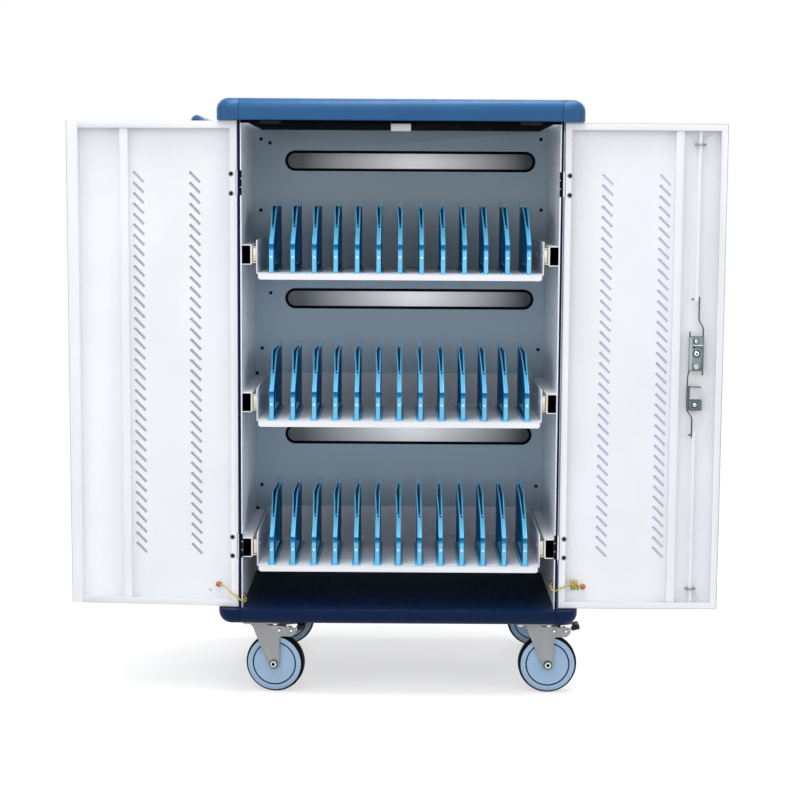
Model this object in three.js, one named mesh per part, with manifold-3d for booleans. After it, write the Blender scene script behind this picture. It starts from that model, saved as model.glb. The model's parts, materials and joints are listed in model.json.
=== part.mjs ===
// Laptop charging cart: a steel cabinet on four casters with three sliding trays of
// upright bays, two perforated front doors, a rear service door and a side push handle.
// Millimetres, +Z up, the doors face -Y. The doors stand open and the trays are pushed in.
import * as THREE from 'three';
import { mergeVertices } from 'three/addons/utils/BufferGeometryUtils.js';
import Module from 'manifold-3d';

const wasm = await Module();
wasm.setup();

// Top cap and base, each a centre length with two moulded ends
const CAP_DEPTH = 430;
const CAP_HEIGHT = 36;
const BASE_HEIGHT = 26.5;
const EDGE_RADIUS = 20;
const CORNER_FLAT = 4;
const END_WIDTH = 37.5;
const SEAM = 0.3;

// Cabinet shell
const BODY_WIDTH = 536;
const CAP_OVERHANG = 35;
const BODY_HEIGHT = 815;
const BODY_INSET = 16;
const PANEL = 4;
const CEILING = 4.5;
const CEILING_SETBACK = 2;
const PARTITION_DEPTH = 303;
const PARTITION_SHEET = 2;

// Cable slots in the partition, with rubber edging
const SLOT_COUNT = 3;
const SLOT_FROM_LEFT = 55.5;
const SLOT_FROM_RIGHT = 21.5;
const SLOT_HEIGHT = 35;
const SLOT_DROP = 59.6;
const SLOT_PITCH = 249;
const EDGING = 3.5;
const EDGING_GRIP = 1.5;
const EDGING_LIP = 1.6;

// Front doors: steel pans with a return flange
const DOOR_THICKNESS = 15;
const DOOR_SHEET = 1.5;
const DOOR_RETURN = 12;
const DOOR_GAP = 0.3;
const DOOR_CLEARANCE = 1.5;
const MEETING_GAP = 1.6;
const HINGE_OFFSET = 1.5;
const HINGE_EDGE = 0.2;
const COVER_STRIP = 17.3;
const COVER_STRIP_SHEET = 1.2;
const LEFT_OPEN = THREE.MathUtils.degToRad(185);
const RIGHT_OPEN = THREE.MathUtils.degToRad(180);

// Slanted vents, two columns on each door
const VENT_COUNT = 37;
const VENT_PITCH = 17.34;
const VENT_LENGTH = 24.6;
const VENT_WIDTH = 4.4;
const VENT_DROP = 92.1;
const VENT_FROM_HINGE = 73;
const VENT_FROM_EDGE = 100.7;

// Hat-section stiffener inside each door
const STIFFENER_FROM_EDGE = 78.7;
const STIFFENER_WIDTH = 14;
const STIFFENER_DEPTH = 11;

// Hinges
const HINGE_HEIGHT = 42;
const HINGE_INSET = 101;
const HINGE_RISE = 104.5;
const KNUCKLE_RADIUS = 1.8;
const KNUCKLE_PLAY = 0.4;
const LEAF_WIDTH = 6;
const LEAF_DEPTH = 3.5;

// Lock gear: a pinion between two racks, each carrying a locking rod
const ROD_RADIUS = 3;
const ROD_PLAY = 0.4;
const ROD_FROM_EDGE = 44.7;
const ROD_STANDOFF = 8;
const ROD_TRAVEL = 15;
const ROD_END = 10;
const RACK_WIDTH = 3;
const RACK_SHEET = 3;
const RACK_TAIL = 8;
const RACK_NECK = 15;
const RACK_BEND = 11;
const RACK_LAP = 8;
const LINK_FROM_LOCK = [90.4, 136.9];
const LINK_RADIUS = 1.2;
const LINK_REACH = 9;
const LINK_SEAT = 0.6;
const LOCK_FROM_EDGE = 44;
const LOCK_HEIGHT = 433.1;
const LOCK_PLATE_WIDTH = 24;
const LOCK_PLATE_LENGTH = 57;
const LOCK_PLATE_SHEET = 2;
const SPINDLE_RADIUS = 6;
const GUIDE_WIDTH = 17;
const GUIDE_HEIGHT = 3;
const GUIDE_INSET = 34;
const KEY_DROP = 75.5;
const KEY_WIDTH = 21.5;
const KEY_LENGTH = 40;
const KEY_BARREL = 9;
const LEVER_LENGTH = 104;
const LEVER_WIDTH = 16;
const LEVER_HUB = 14;
const LEVER_REACH = 30;

// Door catch under the ceiling
const CATCH_WIDTH = 33;
const CATCH_HEIGHT = 12.5;
const CATCH_DEPTH = 21;
const CATCH_SHEET = 2;

// Rear service door on top and bottom pivots
const REAR_THICKNESS = 14;
const REAR_VENT_ROWS = 7;
const REAR_VENT_PITCH = 18;
const REAR_VENT_LENGTH = 120;
const REAR_VENT_WIDTH = 5;
const PIVOT_RADIUS = 3;
const PIVOT_LENGTH = 7;
const REAR_LOCK_RADIUS = 10;

// Sliding trays with upright dividers
const TRAY_COUNT = 3;
const TRAY_PITCH = 246;
const TRAY_LOWEST = 72.5;
const TRAY_DEPTH = 280;
const TRAY_SETBACK = 4;
const TRAY_SHEET = 1.5;
const TRAY_WALL = 54;
const TRAY_LIP = 11;
const LIP_INSET = 3;
const DIVIDER_COUNT = 13;
const DIVIDER_END_GAP = 24.9;
const DIVIDER_THICKNESS = 7;
const DIVIDER_DEPTH = 208;
const DIVIDER_HEIGHT = 110;
const DIVIDER_FRONT = 43;
const DIVIDER_CREST = 92;
const DIVIDER_BAND = 13;
const DIVIDER_FRONT_BAND = 34;
const DIVIDER_REAR_BAND = 56;
const DIVIDER_ROUND = 14;
const DIVIDER_NOTCH = 5;
const DIVIDER_TAB = 9;
const FOOT_WIDTH = 14.5;
const FOOT_SHEET = 1.5;
const FOOT_SET = 0.5;

// Tray slides: a box spacer with a C rail on the wall and a runner on the tray
const SPACER_WIDTH = 17.5;
const SPACER_HEIGHT = 33;
const SPACER_RISE = 13.5;
const SPACER_SHEET = 1.5;
const SLIDE_WIDTH = 8;
const RAIL_HEIGHT = 27;
const RAIL_SHEET = 1.4;
const RAIL_PLAY = 0.5;

// Power strips and mains inlet in the rear compartment
const STRIP_LENGTH = 440;
const STRIP_HEIGHT = 46;
const STRIP_DEPTH = 42;
const STRIP_DROP = 75;
const SOCKET_COUNT = 12;
const SOCKET_PITCH = 35;
const SOCKET_SIZE = 27;
const SOCKET_DEPTH = 3.5;
const INLET_WIDTH = 48;
const INLET_HEIGHT = 28;
const INLET_DEPTH = 30;
const INLET_FRAME = 5;
const INLET_RISE = 75;

// Push handle on the left side
const GRIP_RADIUS = 11;
const GRIP_REACH = 77;
const GRIP_DROP = 34.5;
const GRIP_RISE = 58;
const GRIP_SPREAD = 240;
const GRIP_BEND = 24;
const GRIP_FOOT_RADIUS = 18;
const GRIP_FOOT = 4;

// Swivel casters, the front pair with brake pedals
const WHEEL_RADIUS = 50;
const WHEEL_WIDTH = 24;
const AXLE_RADIUS = 5;
const AXLE_PLAY = 0.3;
const TREAD = 3.75;
const RIM_WIDTH = 8.75;
const RIM_GROOVE = 2;
const CASTER_RISE = 24.5;
const CASTER_FROM_SIDE = 70.6;
const CASTER_INSET = 52;
const CASTER_TRAIL = 23.6;
const FORK_SHEET = 2.5;
const FORK_PLAY = 2;
const FORK_FOOT = 10;
const FORK_BACK = 13;
const FORK_HALF = 20;
const PLATE_SIZE = 62;
const PLATE_SHEET = 3;
const KINGPIN_RADIUS = 6;
const SWIVEL_RADIUS = 20;
const SWIVEL_GAP = 0.4;
const BRIDGE_SHEET = 3;
const SWIVEL_HEIGHT = 5;
const EAR_REACH = 62;
const EAR_HEIGHT = 18;
const EAR_TIP = 7;
const EAR_FILLET = 6;
const PEDAL_PIVOT = 50.6;
const PEDAL_PIN = 3;
const PEDAL_REACH = 73.5;
const PEDAL_HEEL = 8;
const PEDAL_SHEET = 5;
const PEDAL_PLAY = 1;
const LEFT_SWIVEL = THREE.MathUtils.degToRad(-8);

// Earth bonding wires between the doors and the cabinet
const WIRE_RADIUS = 1.25;
const LUG_RADIUS = 4;
const LUG_SHEET = 2;
const LEFT_LUG_AT = 36;
const RIGHT_LUG_AT = 43;
const WALL_LUG_Y = 37;
const LEFT_LUG_RISE = 17;
const RIGHT_LUG_RISE = 41;
const DOOR_LUG_RISE = 37;
const CURL_COUNT = 3;
const CURL_PITCH = 5;
const CURL_HEIGHT = 8;
const CURL_DEPTH = 4.8;

// Colours
const BLUE = 0x3c6494;
const NAVY = 0x16304f;
const WHITE = 0xe9ebee;
const GREY = 0x8a97a6;
const BLACK = 0x17181a;
const ZINC = 0xb9bdc1;
const WHEEL_GREY = 0x7c8794;
const WIRE_GREEN = 0xc6b93a;

// Levels and planes that several pieces share
const BASE_Z = 2 * WHEEL_RADIUS + CASTER_RISE;
const FLOOR_Z = BASE_Z + BASE_HEIGHT;
const CAP_Z = FLOOR_Z + BODY_HEIGHT;
const TOP_Z = CAP_Z + CAP_HEIGHT;
const CEILING_Z = CAP_Z - CEILING;
const CAP_WIDTH = BODY_WIDTH + 2 * CAP_OVERHANG;
const FRONT_Y = BODY_INSET;
const REAR_Y = CAP_DEPTH - BODY_INSET;
const CEILING_Y = FRONT_Y + CEILING_SETBACK;
const PARTITION_Y = FRONT_Y + PARTITION_DEPTH;
const WALL_X = BODY_WIDTH / 2 - PANEL;
const SLOT_LENGTH = 2 * WALL_X - SLOT_FROM_LEFT - SLOT_FROM_RIGHT;
const SLOT_SHIFT = (SLOT_FROM_LEFT - SLOT_FROM_RIGHT) / 2;
const HINGE_X = BODY_WIDTH / 2 + HINGE_OFFSET;
const HINGE_Y = FRONT_Y - DOOR_GAP / 2;
const DOOR_Z = FLOOR_Z + DOOR_CLEARANCE;
const DOOR_TOP = CAP_Z - DOOR_CLEARANCE;
const LEAF_END = HINGE_X - MEETING_GAP / 2;
const STIFFENER_AT = LEAF_END - STIFFENER_FROM_EDGE;
const ROD_AT = LEAF_END - ROD_FROM_EDGE;
const LOCK_AT = LEAF_END - LOCK_FROM_EDGE;
const DOOR_IN = -DOOR_GAP / 2;
const DOOR_OUT = DOOR_IN - DOOR_THICKNESS;
const SKIN_IN = DOOR_OUT + DOOR_SHEET;
const LOCK_Z = DOOR_Z + LOCK_HEIGHT;
const PINION_RADIUS = ROD_TRAVEL / (Math.PI / 2);
const TRAY_X = WALL_X - SPACER_WIDTH - SLIDE_WIDTH;
const DIVIDER_PITCH = (2 * (TRAY_X - DIVIDER_END_GAP)) / (DIVIDER_COUNT - 1);
const TRAY_Y = FRONT_Y + TRAY_SETBACK;
const SLOT_Z = (level) => CAP_Z - SLOT_DROP - level * SLOT_PITCH;
const HINGE_LEVELS = [DOOR_Z + HINGE_RISE, DOOR_TOP - HINGE_INSET];

function toSolid(geometry) {
  const bare = new THREE.BufferGeometry();
  bare.setAttribute('position', geometry.getAttribute('position'));
  bare.setIndex(geometry.getIndex());
  const merged = mergeVertices(bare, 1e-4);
  return new wasm.Manifold(new wasm.Mesh({
    numProp: 3,
    vertProperties: new Float32Array(merged.getAttribute('position').array),
    triVerts: new Uint32Array(merged.getIndex().array),
  }));
}

function toGeometry(solid) {
  const mesh = solid.getMesh();
  const geometry = new THREE.BufferGeometry();
  geometry.setAttribute('position', new THREE.Float32BufferAttribute(mesh.vertProperties, 3));
  geometry.setIndex(new THREE.BufferAttribute(mesh.triVerts, 1));
  geometry.computeVertexNormals();
  return geometry;
}

function fuse(...pieces) {
  return toGeometry(wasm.Manifold.union(pieces.map(toSolid)));
}

function cut(piece, ...tools) {
  return toGeometry(toSolid(piece).subtract(wasm.Manifold.union(tools.map(toSolid))));
}

function keep(piece, region) {
  return toGeometry(toSolid(piece).intersect(toSolid(region)));
}

function block([x0, x1], [y0, y1], [z0, z1]) {
  const box = new THREE.BoxGeometry(Math.abs(x1 - x0), Math.abs(y1 - y0), Math.abs(z1 - z0));
  return box.translate((x0 + x1) / 2, (y0 + y1) / 2, (z0 + z1) / 2);
}

function pinZ(radius, [x, y], [z0, z1], sides = 12) {
  const pin = new THREE.CylinderGeometry(radius, radius, Math.abs(z1 - z0), sides);
  return pin.rotateX(Math.PI / 2).translate(x, y, (z0 + z1) / 2);
}

function pinY(radius, [x, z], [y0, y1], sides = 12) {
  const pin = new THREE.CylinderGeometry(radius, radius, Math.abs(y1 - y0), sides);
  return pin.translate(x, (y0 + y1) / 2, z);
}

function pinX(radius, [y, z], [x0, x1], sides = 12) {
  const pin = new THREE.CylinderGeometry(radius, radius, Math.abs(x1 - x0), sides);
  return pin.rotateZ(Math.PI / 2).translate((x0 + x1) / 2, y, z);
}

function outline(points) {
  return new THREE.Shape(points.map(([a, b]) => new THREE.Vector2(a, b)));
}

// A flat shape in X and Z, given thickness along Y
function plateXZ(shape, [y0, y1], curveSegments = 3) {
  const plate = new THREE.ExtrudeGeometry(shape, {
    depth: Math.abs(y1 - y0), bevelEnabled: false, curveSegments,
  });
  return plate.rotateX(Math.PI / 2).translate(0, Math.max(y0, y1), 0);
}

// A flat shape in Y and Z, given thickness along X
function plateYZ(shape, [x0, x1], curveSegments = 3) {
  const plate = new THREE.ExtrudeGeometry(shape, {
    depth: Math.abs(x1 - x0), bevelEnabled: false, curveSegments,
  });
  const turn = new THREE.Matrix4().makeBasis(
    new THREE.Vector3(0, 1, 0), new THREE.Vector3(0, 0, 1), new THREE.Vector3(1, 0, 0));
  return plate.applyMatrix4(turn).translate(Math.min(x0, x1), 0, 0);
}

function roundedRect(width, depth, radius) {
  const shape = new THREE.Shape();
  const x = width / 2;
  const y = depth / 2;
  shape.moveTo(-x + radius, -y);
  shape.absarc(x - radius, -y + radius, radius, -Math.PI / 2, 0, false);
  shape.absarc(x - radius, y - radius, radius, 0, Math.PI / 2, false);
  shape.absarc(-x + radius, y - radius, radius, Math.PI / 2, Math.PI, false);
  shape.absarc(-x + radius, -y + radius, radius, Math.PI, 1.5 * Math.PI, false);
  return shape;
}

// A slot with full-radius ends, lying along X
function stadium(length, height, [x, z]) {
  const radius = height / 2;
  const reach = length / 2 - radius;
  const shape = new THREE.Shape();
  shape.moveTo(x - reach, z - radius);
  shape.absarc(x + reach, z, radius, -Math.PI / 2, Math.PI / 2, false);
  shape.absarc(x - reach, z, radius, Math.PI / 2, 1.5 * Math.PI, false);
  return shape;
}

// The tube of a bent bar or wire
function tube(path, radius, steps, sides) {
  const ring = [];
  for (let i = 0; i < sides; i++) {
    const angle = (i / sides) * 2 * Math.PI;
    ring.push([radius * Math.cos(angle), radius * Math.sin(angle)]);
  }
  return new THREE.ExtrudeGeometry(outline(ring), { steps, extrudePath: path, bevelEnabled: false });
}

function add(parent, name, geometry, color, roughness, metalness) {
  const material = new THREE.MeshStandardMaterial({ color, roughness, metalness });
  const mesh = new THREE.Mesh(geometry, material);
  mesh.name = name;
  parent.add(mesh);
  return mesh;
}

function group(parent, position, turn = 0) {
  const node = new THREE.Group();
  node.position.set(...position);
  node.rotation.z = turn;
  parent.add(node);
  return node;
}

const cart = new THREE.Group();
cart.name = 'laptop_charging_cart';

// Cap and base: a slab with one rounded rim, split into a centre and two ends
function rimmedSlab(height, z, upward) {
  const plan = roundedRect(CAP_WIDTH, CAP_DEPTH, EDGE_RADIUS + CORNER_FLAT);
  const slab = new THREE.ExtrudeGeometry(plan, {
    depth: height - EDGE_RADIUS, curveSegments: 4, bevelSegments: 4,
    bevelThickness: EDGE_RADIUS, bevelSize: EDGE_RADIUS, bevelOffset: -EDGE_RADIUS,
  });
  const across = [-CAP_WIDTH, CAP_WIDTH];
  const half = keep(slab, block(across, across, [0, 2 * height]));
  if (!upward) half.rotateX(Math.PI).translate(0, 0, height);
  return half.translate(0, CAP_DEPTH / 2, z);
}

const CENTRE_X = CAP_WIDTH / 2 - END_WIDTH - SEAM / 2;
const END_X = CAP_WIDTH / 2 - END_WIDTH + SEAM / 2;
const tall = [0, 2 * TOP_Z];
const deep = [-CAP_DEPTH, 2 * CAP_DEPTH];
const centreSlab = block([-CENTRE_X, CENTRE_X], deep, tall);
const rightSlab = block([END_X, CAP_WIDTH], deep, tall);
const leftSlab = block([-END_X, -CAP_WIDTH], deep, tall);
const capSlab = rimmedSlab(CAP_HEIGHT, CAP_Z, true);
const baseSlab = rimmedSlab(BASE_HEIGHT, BASE_Z, false);

const ROD_X = HINGE_X - ROD_AT;
const ROD_Y = HINGE_Y + DOOR_OUT + ROD_STANDOFF;
const ROD_REACH = ROD_TRAVEL - ROD_END;
const keeper = (z) => pinZ(ROD_RADIUS + 2 * ROD_PLAY, [ROD_X, ROD_Y], [z - ROD_REACH, z + ROD_REACH]);
const REAR_AXIS_Y = REAR_Y + DOOR_GAP / 2;
const PIVOT_REACH = DOOR_CLEARANCE + DOOR_RETURN;
const pivotHole = (z) => pinZ(PIVOT_RADIUS + KNUCKLE_PLAY, [HINGE_X, REAR_AXIS_Y],
  [z - PIVOT_REACH - KNUCKLE_PLAY, z + PIVOT_REACH + KNUCKLE_PLAY]);

add(cart, 'top_cover', cut(keep(capSlab, centreSlab), keeper(CAP_Z)), BLUE, 0.45, 0);
add(cart, 'top_end_left', keep(capSlab, leftSlab), BLUE, 0.45, 0);
add(cart, 'top_end_right', cut(keep(capSlab, rightSlab), pivotHole(CAP_Z)), BLUE, 0.45, 0);
add(cart, 'base_frame', cut(keep(baseSlab, centreSlab), keeper(FLOOR_Z)), NAVY, 0.5, 0);
add(cart, 'base_end_left', keep(baseSlab, leftSlab), NAVY, 0.5, 0);
add(cart, 'base_end_right', cut(keep(baseSlab, rightSlab), pivotHole(FLOOR_Z)), NAVY, 0.5, 0);

// Hinge leaves let into the front edges of the side panels
function hingeLeaf(side, level) {
  const outside = BODY_WIDTH / 2 + KNUCKLE_PLAY / 2;
  const height = [level - HINGE_HEIGHT / 2, level + HINGE_HEIGHT / 2];
  return block([side * outside, side * (outside - LEAF_WIDTH)], [FRONT_Y, FRONT_Y + LEAF_DEPTH], height);
}

const INLET_Y = (PARTITION_Y + PARTITION_SHEET + REAR_Y) / 2;
const INLET_Z = FLOOR_Z + INLET_RISE;
const inletBody = block([WALL_X - INLET_DEPTH, BODY_WIDTH / 2],
  [INLET_Y - INLET_WIDTH / 2, INLET_Y + INLET_WIDTH / 2],
  [INLET_Z - INLET_HEIGHT / 2, INLET_Z + INLET_HEIGHT / 2]);

function sidePanel(side) {
  const sheet = block([side * WALL_X, side * BODY_WIDTH / 2], [FRONT_Y, REAR_Y], [FLOOR_Z, CAP_Z]);
  const leaves = HINGE_LEVELS.map((level) => hingeLeaf(side, level));
  return side > 0
    ? cut(sheet, ...leaves, inletBody, pivotHole(FLOOR_Z), pivotHole(CAP_Z))
    : cut(sheet, ...leaves);
}

add(cart, 'side_panel_left', sidePanel(-1), NAVY, 0.5, 0.2);
add(cart, 'side_panel_right', sidePanel(1), NAVY, 0.5, 0.2);
add(cart, 'ceiling_panel', block([-WALL_X, WALL_X], [CEILING_Y, REAR_Y], [CEILING_Z, CAP_Z]), NAVY, 0.6, 0.2);

for (const [side, word] of [[-1, 'left'], [1, 'right']]) {
  HINGE_LEVELS.forEach((level, i) => {
    const height = [level - HINGE_HEIGHT / 2, level + HINGE_HEIGHT / 2];
    const knuckle = pinZ(KNUCKLE_RADIUS, [side * HINGE_X, HINGE_Y], height);
    const name = `hinge_${word}_${i === 0 ? 'lower' : 'upper'}`;
    add(cart, name, fuse(hingeLeaf(side, level), knuckle), BLACK, 0.5, 0.4);
  });
}

// Partition with its edged cable slots
const slotLevels = Array.from({ length: SLOT_COUNT }, (_, i) => SLOT_Z(i));
const sheetRange = [PARTITION_Y, PARTITION_Y + PARTITION_SHEET];
const GRIPPED = 2 * (EDGING - EDGING_GRIP);
const partition = outline([
  [-WALL_X, FLOOR_Z], [WALL_X, FLOOR_Z], [WALL_X, CEILING_Z], [-WALL_X, CEILING_Z]]);
const OPEN_LENGTH = SLOT_LENGTH - 2 * EDGING;
const OPEN_HEIGHT = SLOT_HEIGHT - 2 * EDGING;
partition.holes = slotLevels.map((z) =>
  stadium(OPEN_LENGTH + GRIPPED, OPEN_HEIGHT + GRIPPED, [SLOT_SHIFT, z]));
add(cart, 'rear_partition', plateXZ(partition, sheetRange), GREY, 0.5, 0.3);

slotLevels.forEach((z, i) => {
  const ring = (length, height, range) => {
    const shape = stadium(length, height, [SLOT_SHIFT, z]);
    shape.holes = [stadium(OPEN_LENGTH, OPEN_HEIGHT, [SLOT_SHIFT, z])];
    return plateXZ(shape, range);
  };
  const edging = fuse(
    ring(SLOT_LENGTH, SLOT_HEIGHT, [PARTITION_Y - EDGING_LIP, PARTITION_Y]),
    ring(OPEN_LENGTH + GRIPPED, OPEN_HEIGHT + GRIPPED, sheetRange),
    ring(SLOT_LENGTH, SLOT_HEIGHT, [sheetRange[1], sheetRange[1] + EDGING_LIP]));
  add(cart, `slot_edging_${i + 1}`, edging, BLACK, 0.8, 0);
});

// Catch plate that the doors close on
const catchFace = block([-CATCH_WIDTH / 2, CATCH_WIDTH / 2],
  [CEILING_Y, CEILING_Y + CATCH_SHEET], [CEILING_Z - CATCH_HEIGHT, CEILING_Z]);
const catchFoot = block([-CATCH_WIDTH / 2, CATCH_WIDTH / 2],
  [CEILING_Y, CEILING_Y + CATCH_DEPTH], [CEILING_Z - CATCH_SHEET, CEILING_Z]);
add(cart, 'door_catch', fuse(catchFace, catchFoot), ZINC, 0.35, 0.9);

// Power strips below the slots, with sockets facing the rear door
for (let level = 0; level < SLOT_COUNT; level++) {
  const z = SLOT_Z(level) - STRIP_DROP;
  const near = sheetRange[1];
  const far = near + STRIP_DEPTH;
  const strip = block([-STRIP_LENGTH / 2, STRIP_LENGTH / 2], [near, far],
    [z - STRIP_HEIGHT / 2, z + STRIP_HEIGHT / 2]);
  const sockets = [];
  for (let i = 0; i < SOCKET_COUNT; i++) {
    const x = (i - (SOCKET_COUNT - 1) / 2) * SOCKET_PITCH;
    sockets.push(pinY(SOCKET_SIZE / 2, [x, z], [far - SOCKET_DEPTH, far + SOCKET_DEPTH], 6));
  }
  add(cart, `power_strip_${level + 1}`, cut(strip, ...sockets), BLACK, 0.5, 0);
}

const inletFrame = block([BODY_WIDTH / 2, BODY_WIDTH / 2 + PANEL],
  [INLET_Y - INLET_WIDTH / 2 - INLET_FRAME, INLET_Y + INLET_WIDTH / 2 + INLET_FRAME],
  [INLET_Z - INLET_HEIGHT / 2 - INLET_FRAME, INLET_Z + INLET_HEIGHT / 2 + INLET_FRAME]);
const inletWell = block([WALL_X - INLET_DEPTH / 2, BODY_WIDTH],
  [INLET_Y - INLET_WIDTH / 2 + INLET_FRAME, INLET_Y + INLET_WIDTH / 2 - INLET_FRAME],
  [INLET_Z - INLET_HEIGHT / 2 + INLET_FRAME, INLET_Z + INLET_HEIGHT / 2 - INLET_FRAME]);
add(cart, 'power_inlet', cut(fuse(inletBody, inletFrame), inletWell), BLACK, 0.5, 0);

// Push handle: a bent bar between two feet on the left panel
function pushHandle() {
  const wall = -BODY_WIDTH / 2;
  const out = -BODY_WIDTH / 2 - GRIP_REACH;
  const top = TOP_Z - GRIP_DROP;
  const low = top - GRIP_RISE;
  const y0 = (CAP_DEPTH - GRIP_SPREAD) / 2;
  const y1 = (CAP_DEPTH + GRIP_SPREAD) / 2;
  const slope = new THREE.Vector3(-GRIP_REACH, 0, GRIP_RISE).normalize();
  const foot = (y) => new THREE.Vector3(wall, y, low).addScaledVector(slope, GRIP_FOOT / 2);
  const corner = (y) => new THREE.Vector3(out, y, top);
  const path = new THREE.CurvePath();
  const before = corner(y0).addScaledVector(slope, -GRIP_BEND);
  const after = corner(y0 + GRIP_BEND);
  const before2 = corner(y1 - GRIP_BEND);
  const after2 = corner(y1).addScaledVector(slope, -GRIP_BEND);
  path.add(new THREE.LineCurve3(foot(y0), before));
  path.add(new THREE.QuadraticBezierCurve3(before, corner(y0), after));
  path.add(new THREE.LineCurve3(after, before2));
  path.add(new THREE.QuadraticBezierCurve3(before2, corner(y1), after2));
  path.add(new THREE.LineCurve3(after2, foot(y1)));
  const bar = tube(path, GRIP_RADIUS, 24, 10);
  const feet = [y0, y1].map((y) =>
    pinX(GRIP_FOOT_RADIUS, [y, low], [wall - GRIP_FOOT, wall], 16));
  const outside = block([wall, wall - 4 * GRIP_REACH], deep, tall);
  return keep(fuse(bar, ...feet), outside);
}
add(cart, 'push_handle', pushHandle(), BLUE, 0.45, 0);

// Front doors, drawn shut with the hinge axis at their own origin
const DOOR_MID = (DOOR_Z + DOOR_TOP) / 2;

function vents(side) {
  const slots = [];
  const half = VENT_LENGTH / 2;
  const wide = VENT_WIDTH / 2;
  const blade = outline([[-half, -wide], [half, -wide], [half, wide], [-half, wide]]);
  for (const u of [VENT_FROM_HINGE, LEAF_END - VENT_FROM_EDGE]) {
    for (let i = 0; i < VENT_COUNT; i++) {
      const z = DOOR_TOP - VENT_DROP - i * VENT_PITCH;
      const slot = plateXZ(blade, [-DOOR_SHEET, DOOR_SHEET]);
      slot.rotateY(-Math.PI / 4);
      slots.push(slot.translate(-side * u, DOOR_OUT + DOOR_SHEET / 2, z));
    }
  }
  return slots;
}

function doorLeaf(side) {
  const at = (u) => -side * u;
  const span = (u0, u1) => [at(u0), at(u1)];
  const pan = block(span(HINGE_EDGE, LEAF_END), [DOOR_OUT, DOOR_IN], [DOOR_Z, DOOR_TOP]);
  const hollow = block(span(HINGE_EDGE + DOOR_SHEET, LEAF_END - DOOR_SHEET),
    [SKIN_IN, DOOR_IN - DOOR_SHEET], [DOOR_Z + DOOR_SHEET, DOOR_TOP - DOOR_SHEET]);
  const mouth = block(span(HINGE_EDGE + DOOR_RETURN, LEAF_END - DOOR_RETURN),
    [SKIN_IN, DOOR_IN + DOOR_SHEET], [DOOR_Z + DOOR_RETURN, DOOR_TOP - DOOR_RETURN]);
  const knuckles = HINGE_LEVELS.map((level) => pinZ(KNUCKLE_RADIUS + KNUCKLE_PLAY, [0, 0],
    [level - HINGE_HEIGHT / 2 - KNUCKLE_PLAY, level + HINGE_HEIGHT / 2 + KNUCKLE_PLAY]));
  const shell = cut(pan, hollow, mouth, ...knuckles);
  const hatRange = [DOOR_Z + DOOR_RETURN, DOOR_TOP - DOOR_RETURN];
  const hatHalf = STIFFENER_WIDTH / 2;
  const hatBore = hatHalf - DOOR_SHEET;
  const hat = cut(
    block(span(STIFFENER_AT - hatHalf, STIFFENER_AT + hatHalf),
      [SKIN_IN, SKIN_IN + STIFFENER_DEPTH], hatRange),
    block(span(STIFFENER_AT - hatBore, STIFFENER_AT + hatBore),
      [SKIN_IN, SKIN_IN + STIFFENER_DEPTH - DOOR_SHEET], tall));
  return { shell: cut(fuse(shell, hat), ...vents(side)), at, span };
}

const leftDoor = group(cart, [-HINGE_X, HINGE_Y, 0], -LEFT_OPEN);
const rightDoor = group(cart, [HINGE_X, HINGE_Y, 0], RIGHT_OPEN);

function leftLeaf() {
  const { shell, span } = doorLeaf(-1);
  const range = [DOOR_Z, DOOR_TOP];
  const face = DOOR_GAP / 2 + COVER_STRIP_SHEET;
  const bed = block(span(LEAF_END - DOOR_RETURN, LEAF_END), [DOOR_IN - DOOR_SHEET / 2, face], range);
  const lap = block(span(LEAF_END - DOOR_RETURN, LEAF_END + COVER_STRIP), [DOOR_GAP / 2, face], range);
  return fuse(shell, bed, lap);
}
add(leftDoor, 'door_left', leftLeaf(), WHITE, 0.4, 0.1);

const ROD_LINE = DOOR_OUT + ROD_STANDOFF;
const guideLevels = [DOOR_Z + GUIDE_INSET, DOOR_TOP - GUIDE_INSET];
const KEY_Z = LOCK_Z - KEY_DROP;
const KEY_AT = LOCK_AT;

function rightLeaf() {
  const { shell, at, span } = doorLeaf(1);
  const guides = guideLevels.map((z) => block(span(ROD_AT - GUIDE_WIDTH / 2, ROD_AT + GUIDE_WIDTH / 2),
    [SKIN_IN, ROD_LINE + ROD_RADIUS + ROD_PLAY + DOOR_SHEET], [z - GUIDE_HEIGHT / 2, z + GUIDE_HEIGHT / 2]));
  const rodWay = pinZ(ROD_RADIUS + ROD_PLAY, [at(ROD_AT), ROD_LINE], tall);
  const skin = [DOOR_OUT - DOOR_SHEET, SKIN_IN + DOOR_SHEET];
  const spindleWay = pinY(SPINDLE_RADIUS + ROD_PLAY, [at(LOCK_AT), LOCK_Z], skin);
  const barrelWay = pinY(KEY_BARREL, [at(KEY_AT), KEY_Z], skin, 16);
  return cut(fuse(shell, ...guides), rodWay, spindleWay, barrelWay);
}
add(rightDoor, 'door_right', rightLeaf(), WHITE, 0.4, 0.1);

// Lock: plate, pinion on a spindle, lever outside, key barrel below
const lockAt = (u) => -u;
const lockSpan = (u0, u1) => [lockAt(u0), lockAt(u1)];
const RACK_RANGE = [ROD_LINE - RACK_SHEET / 2, ROD_LINE + RACK_SHEET / 2];
const PLATE_IN = RACK_RANGE[1] + ROD_PLAY;
const PLATE_OUT = PLATE_IN + LOCK_PLATE_SHEET;

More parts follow.
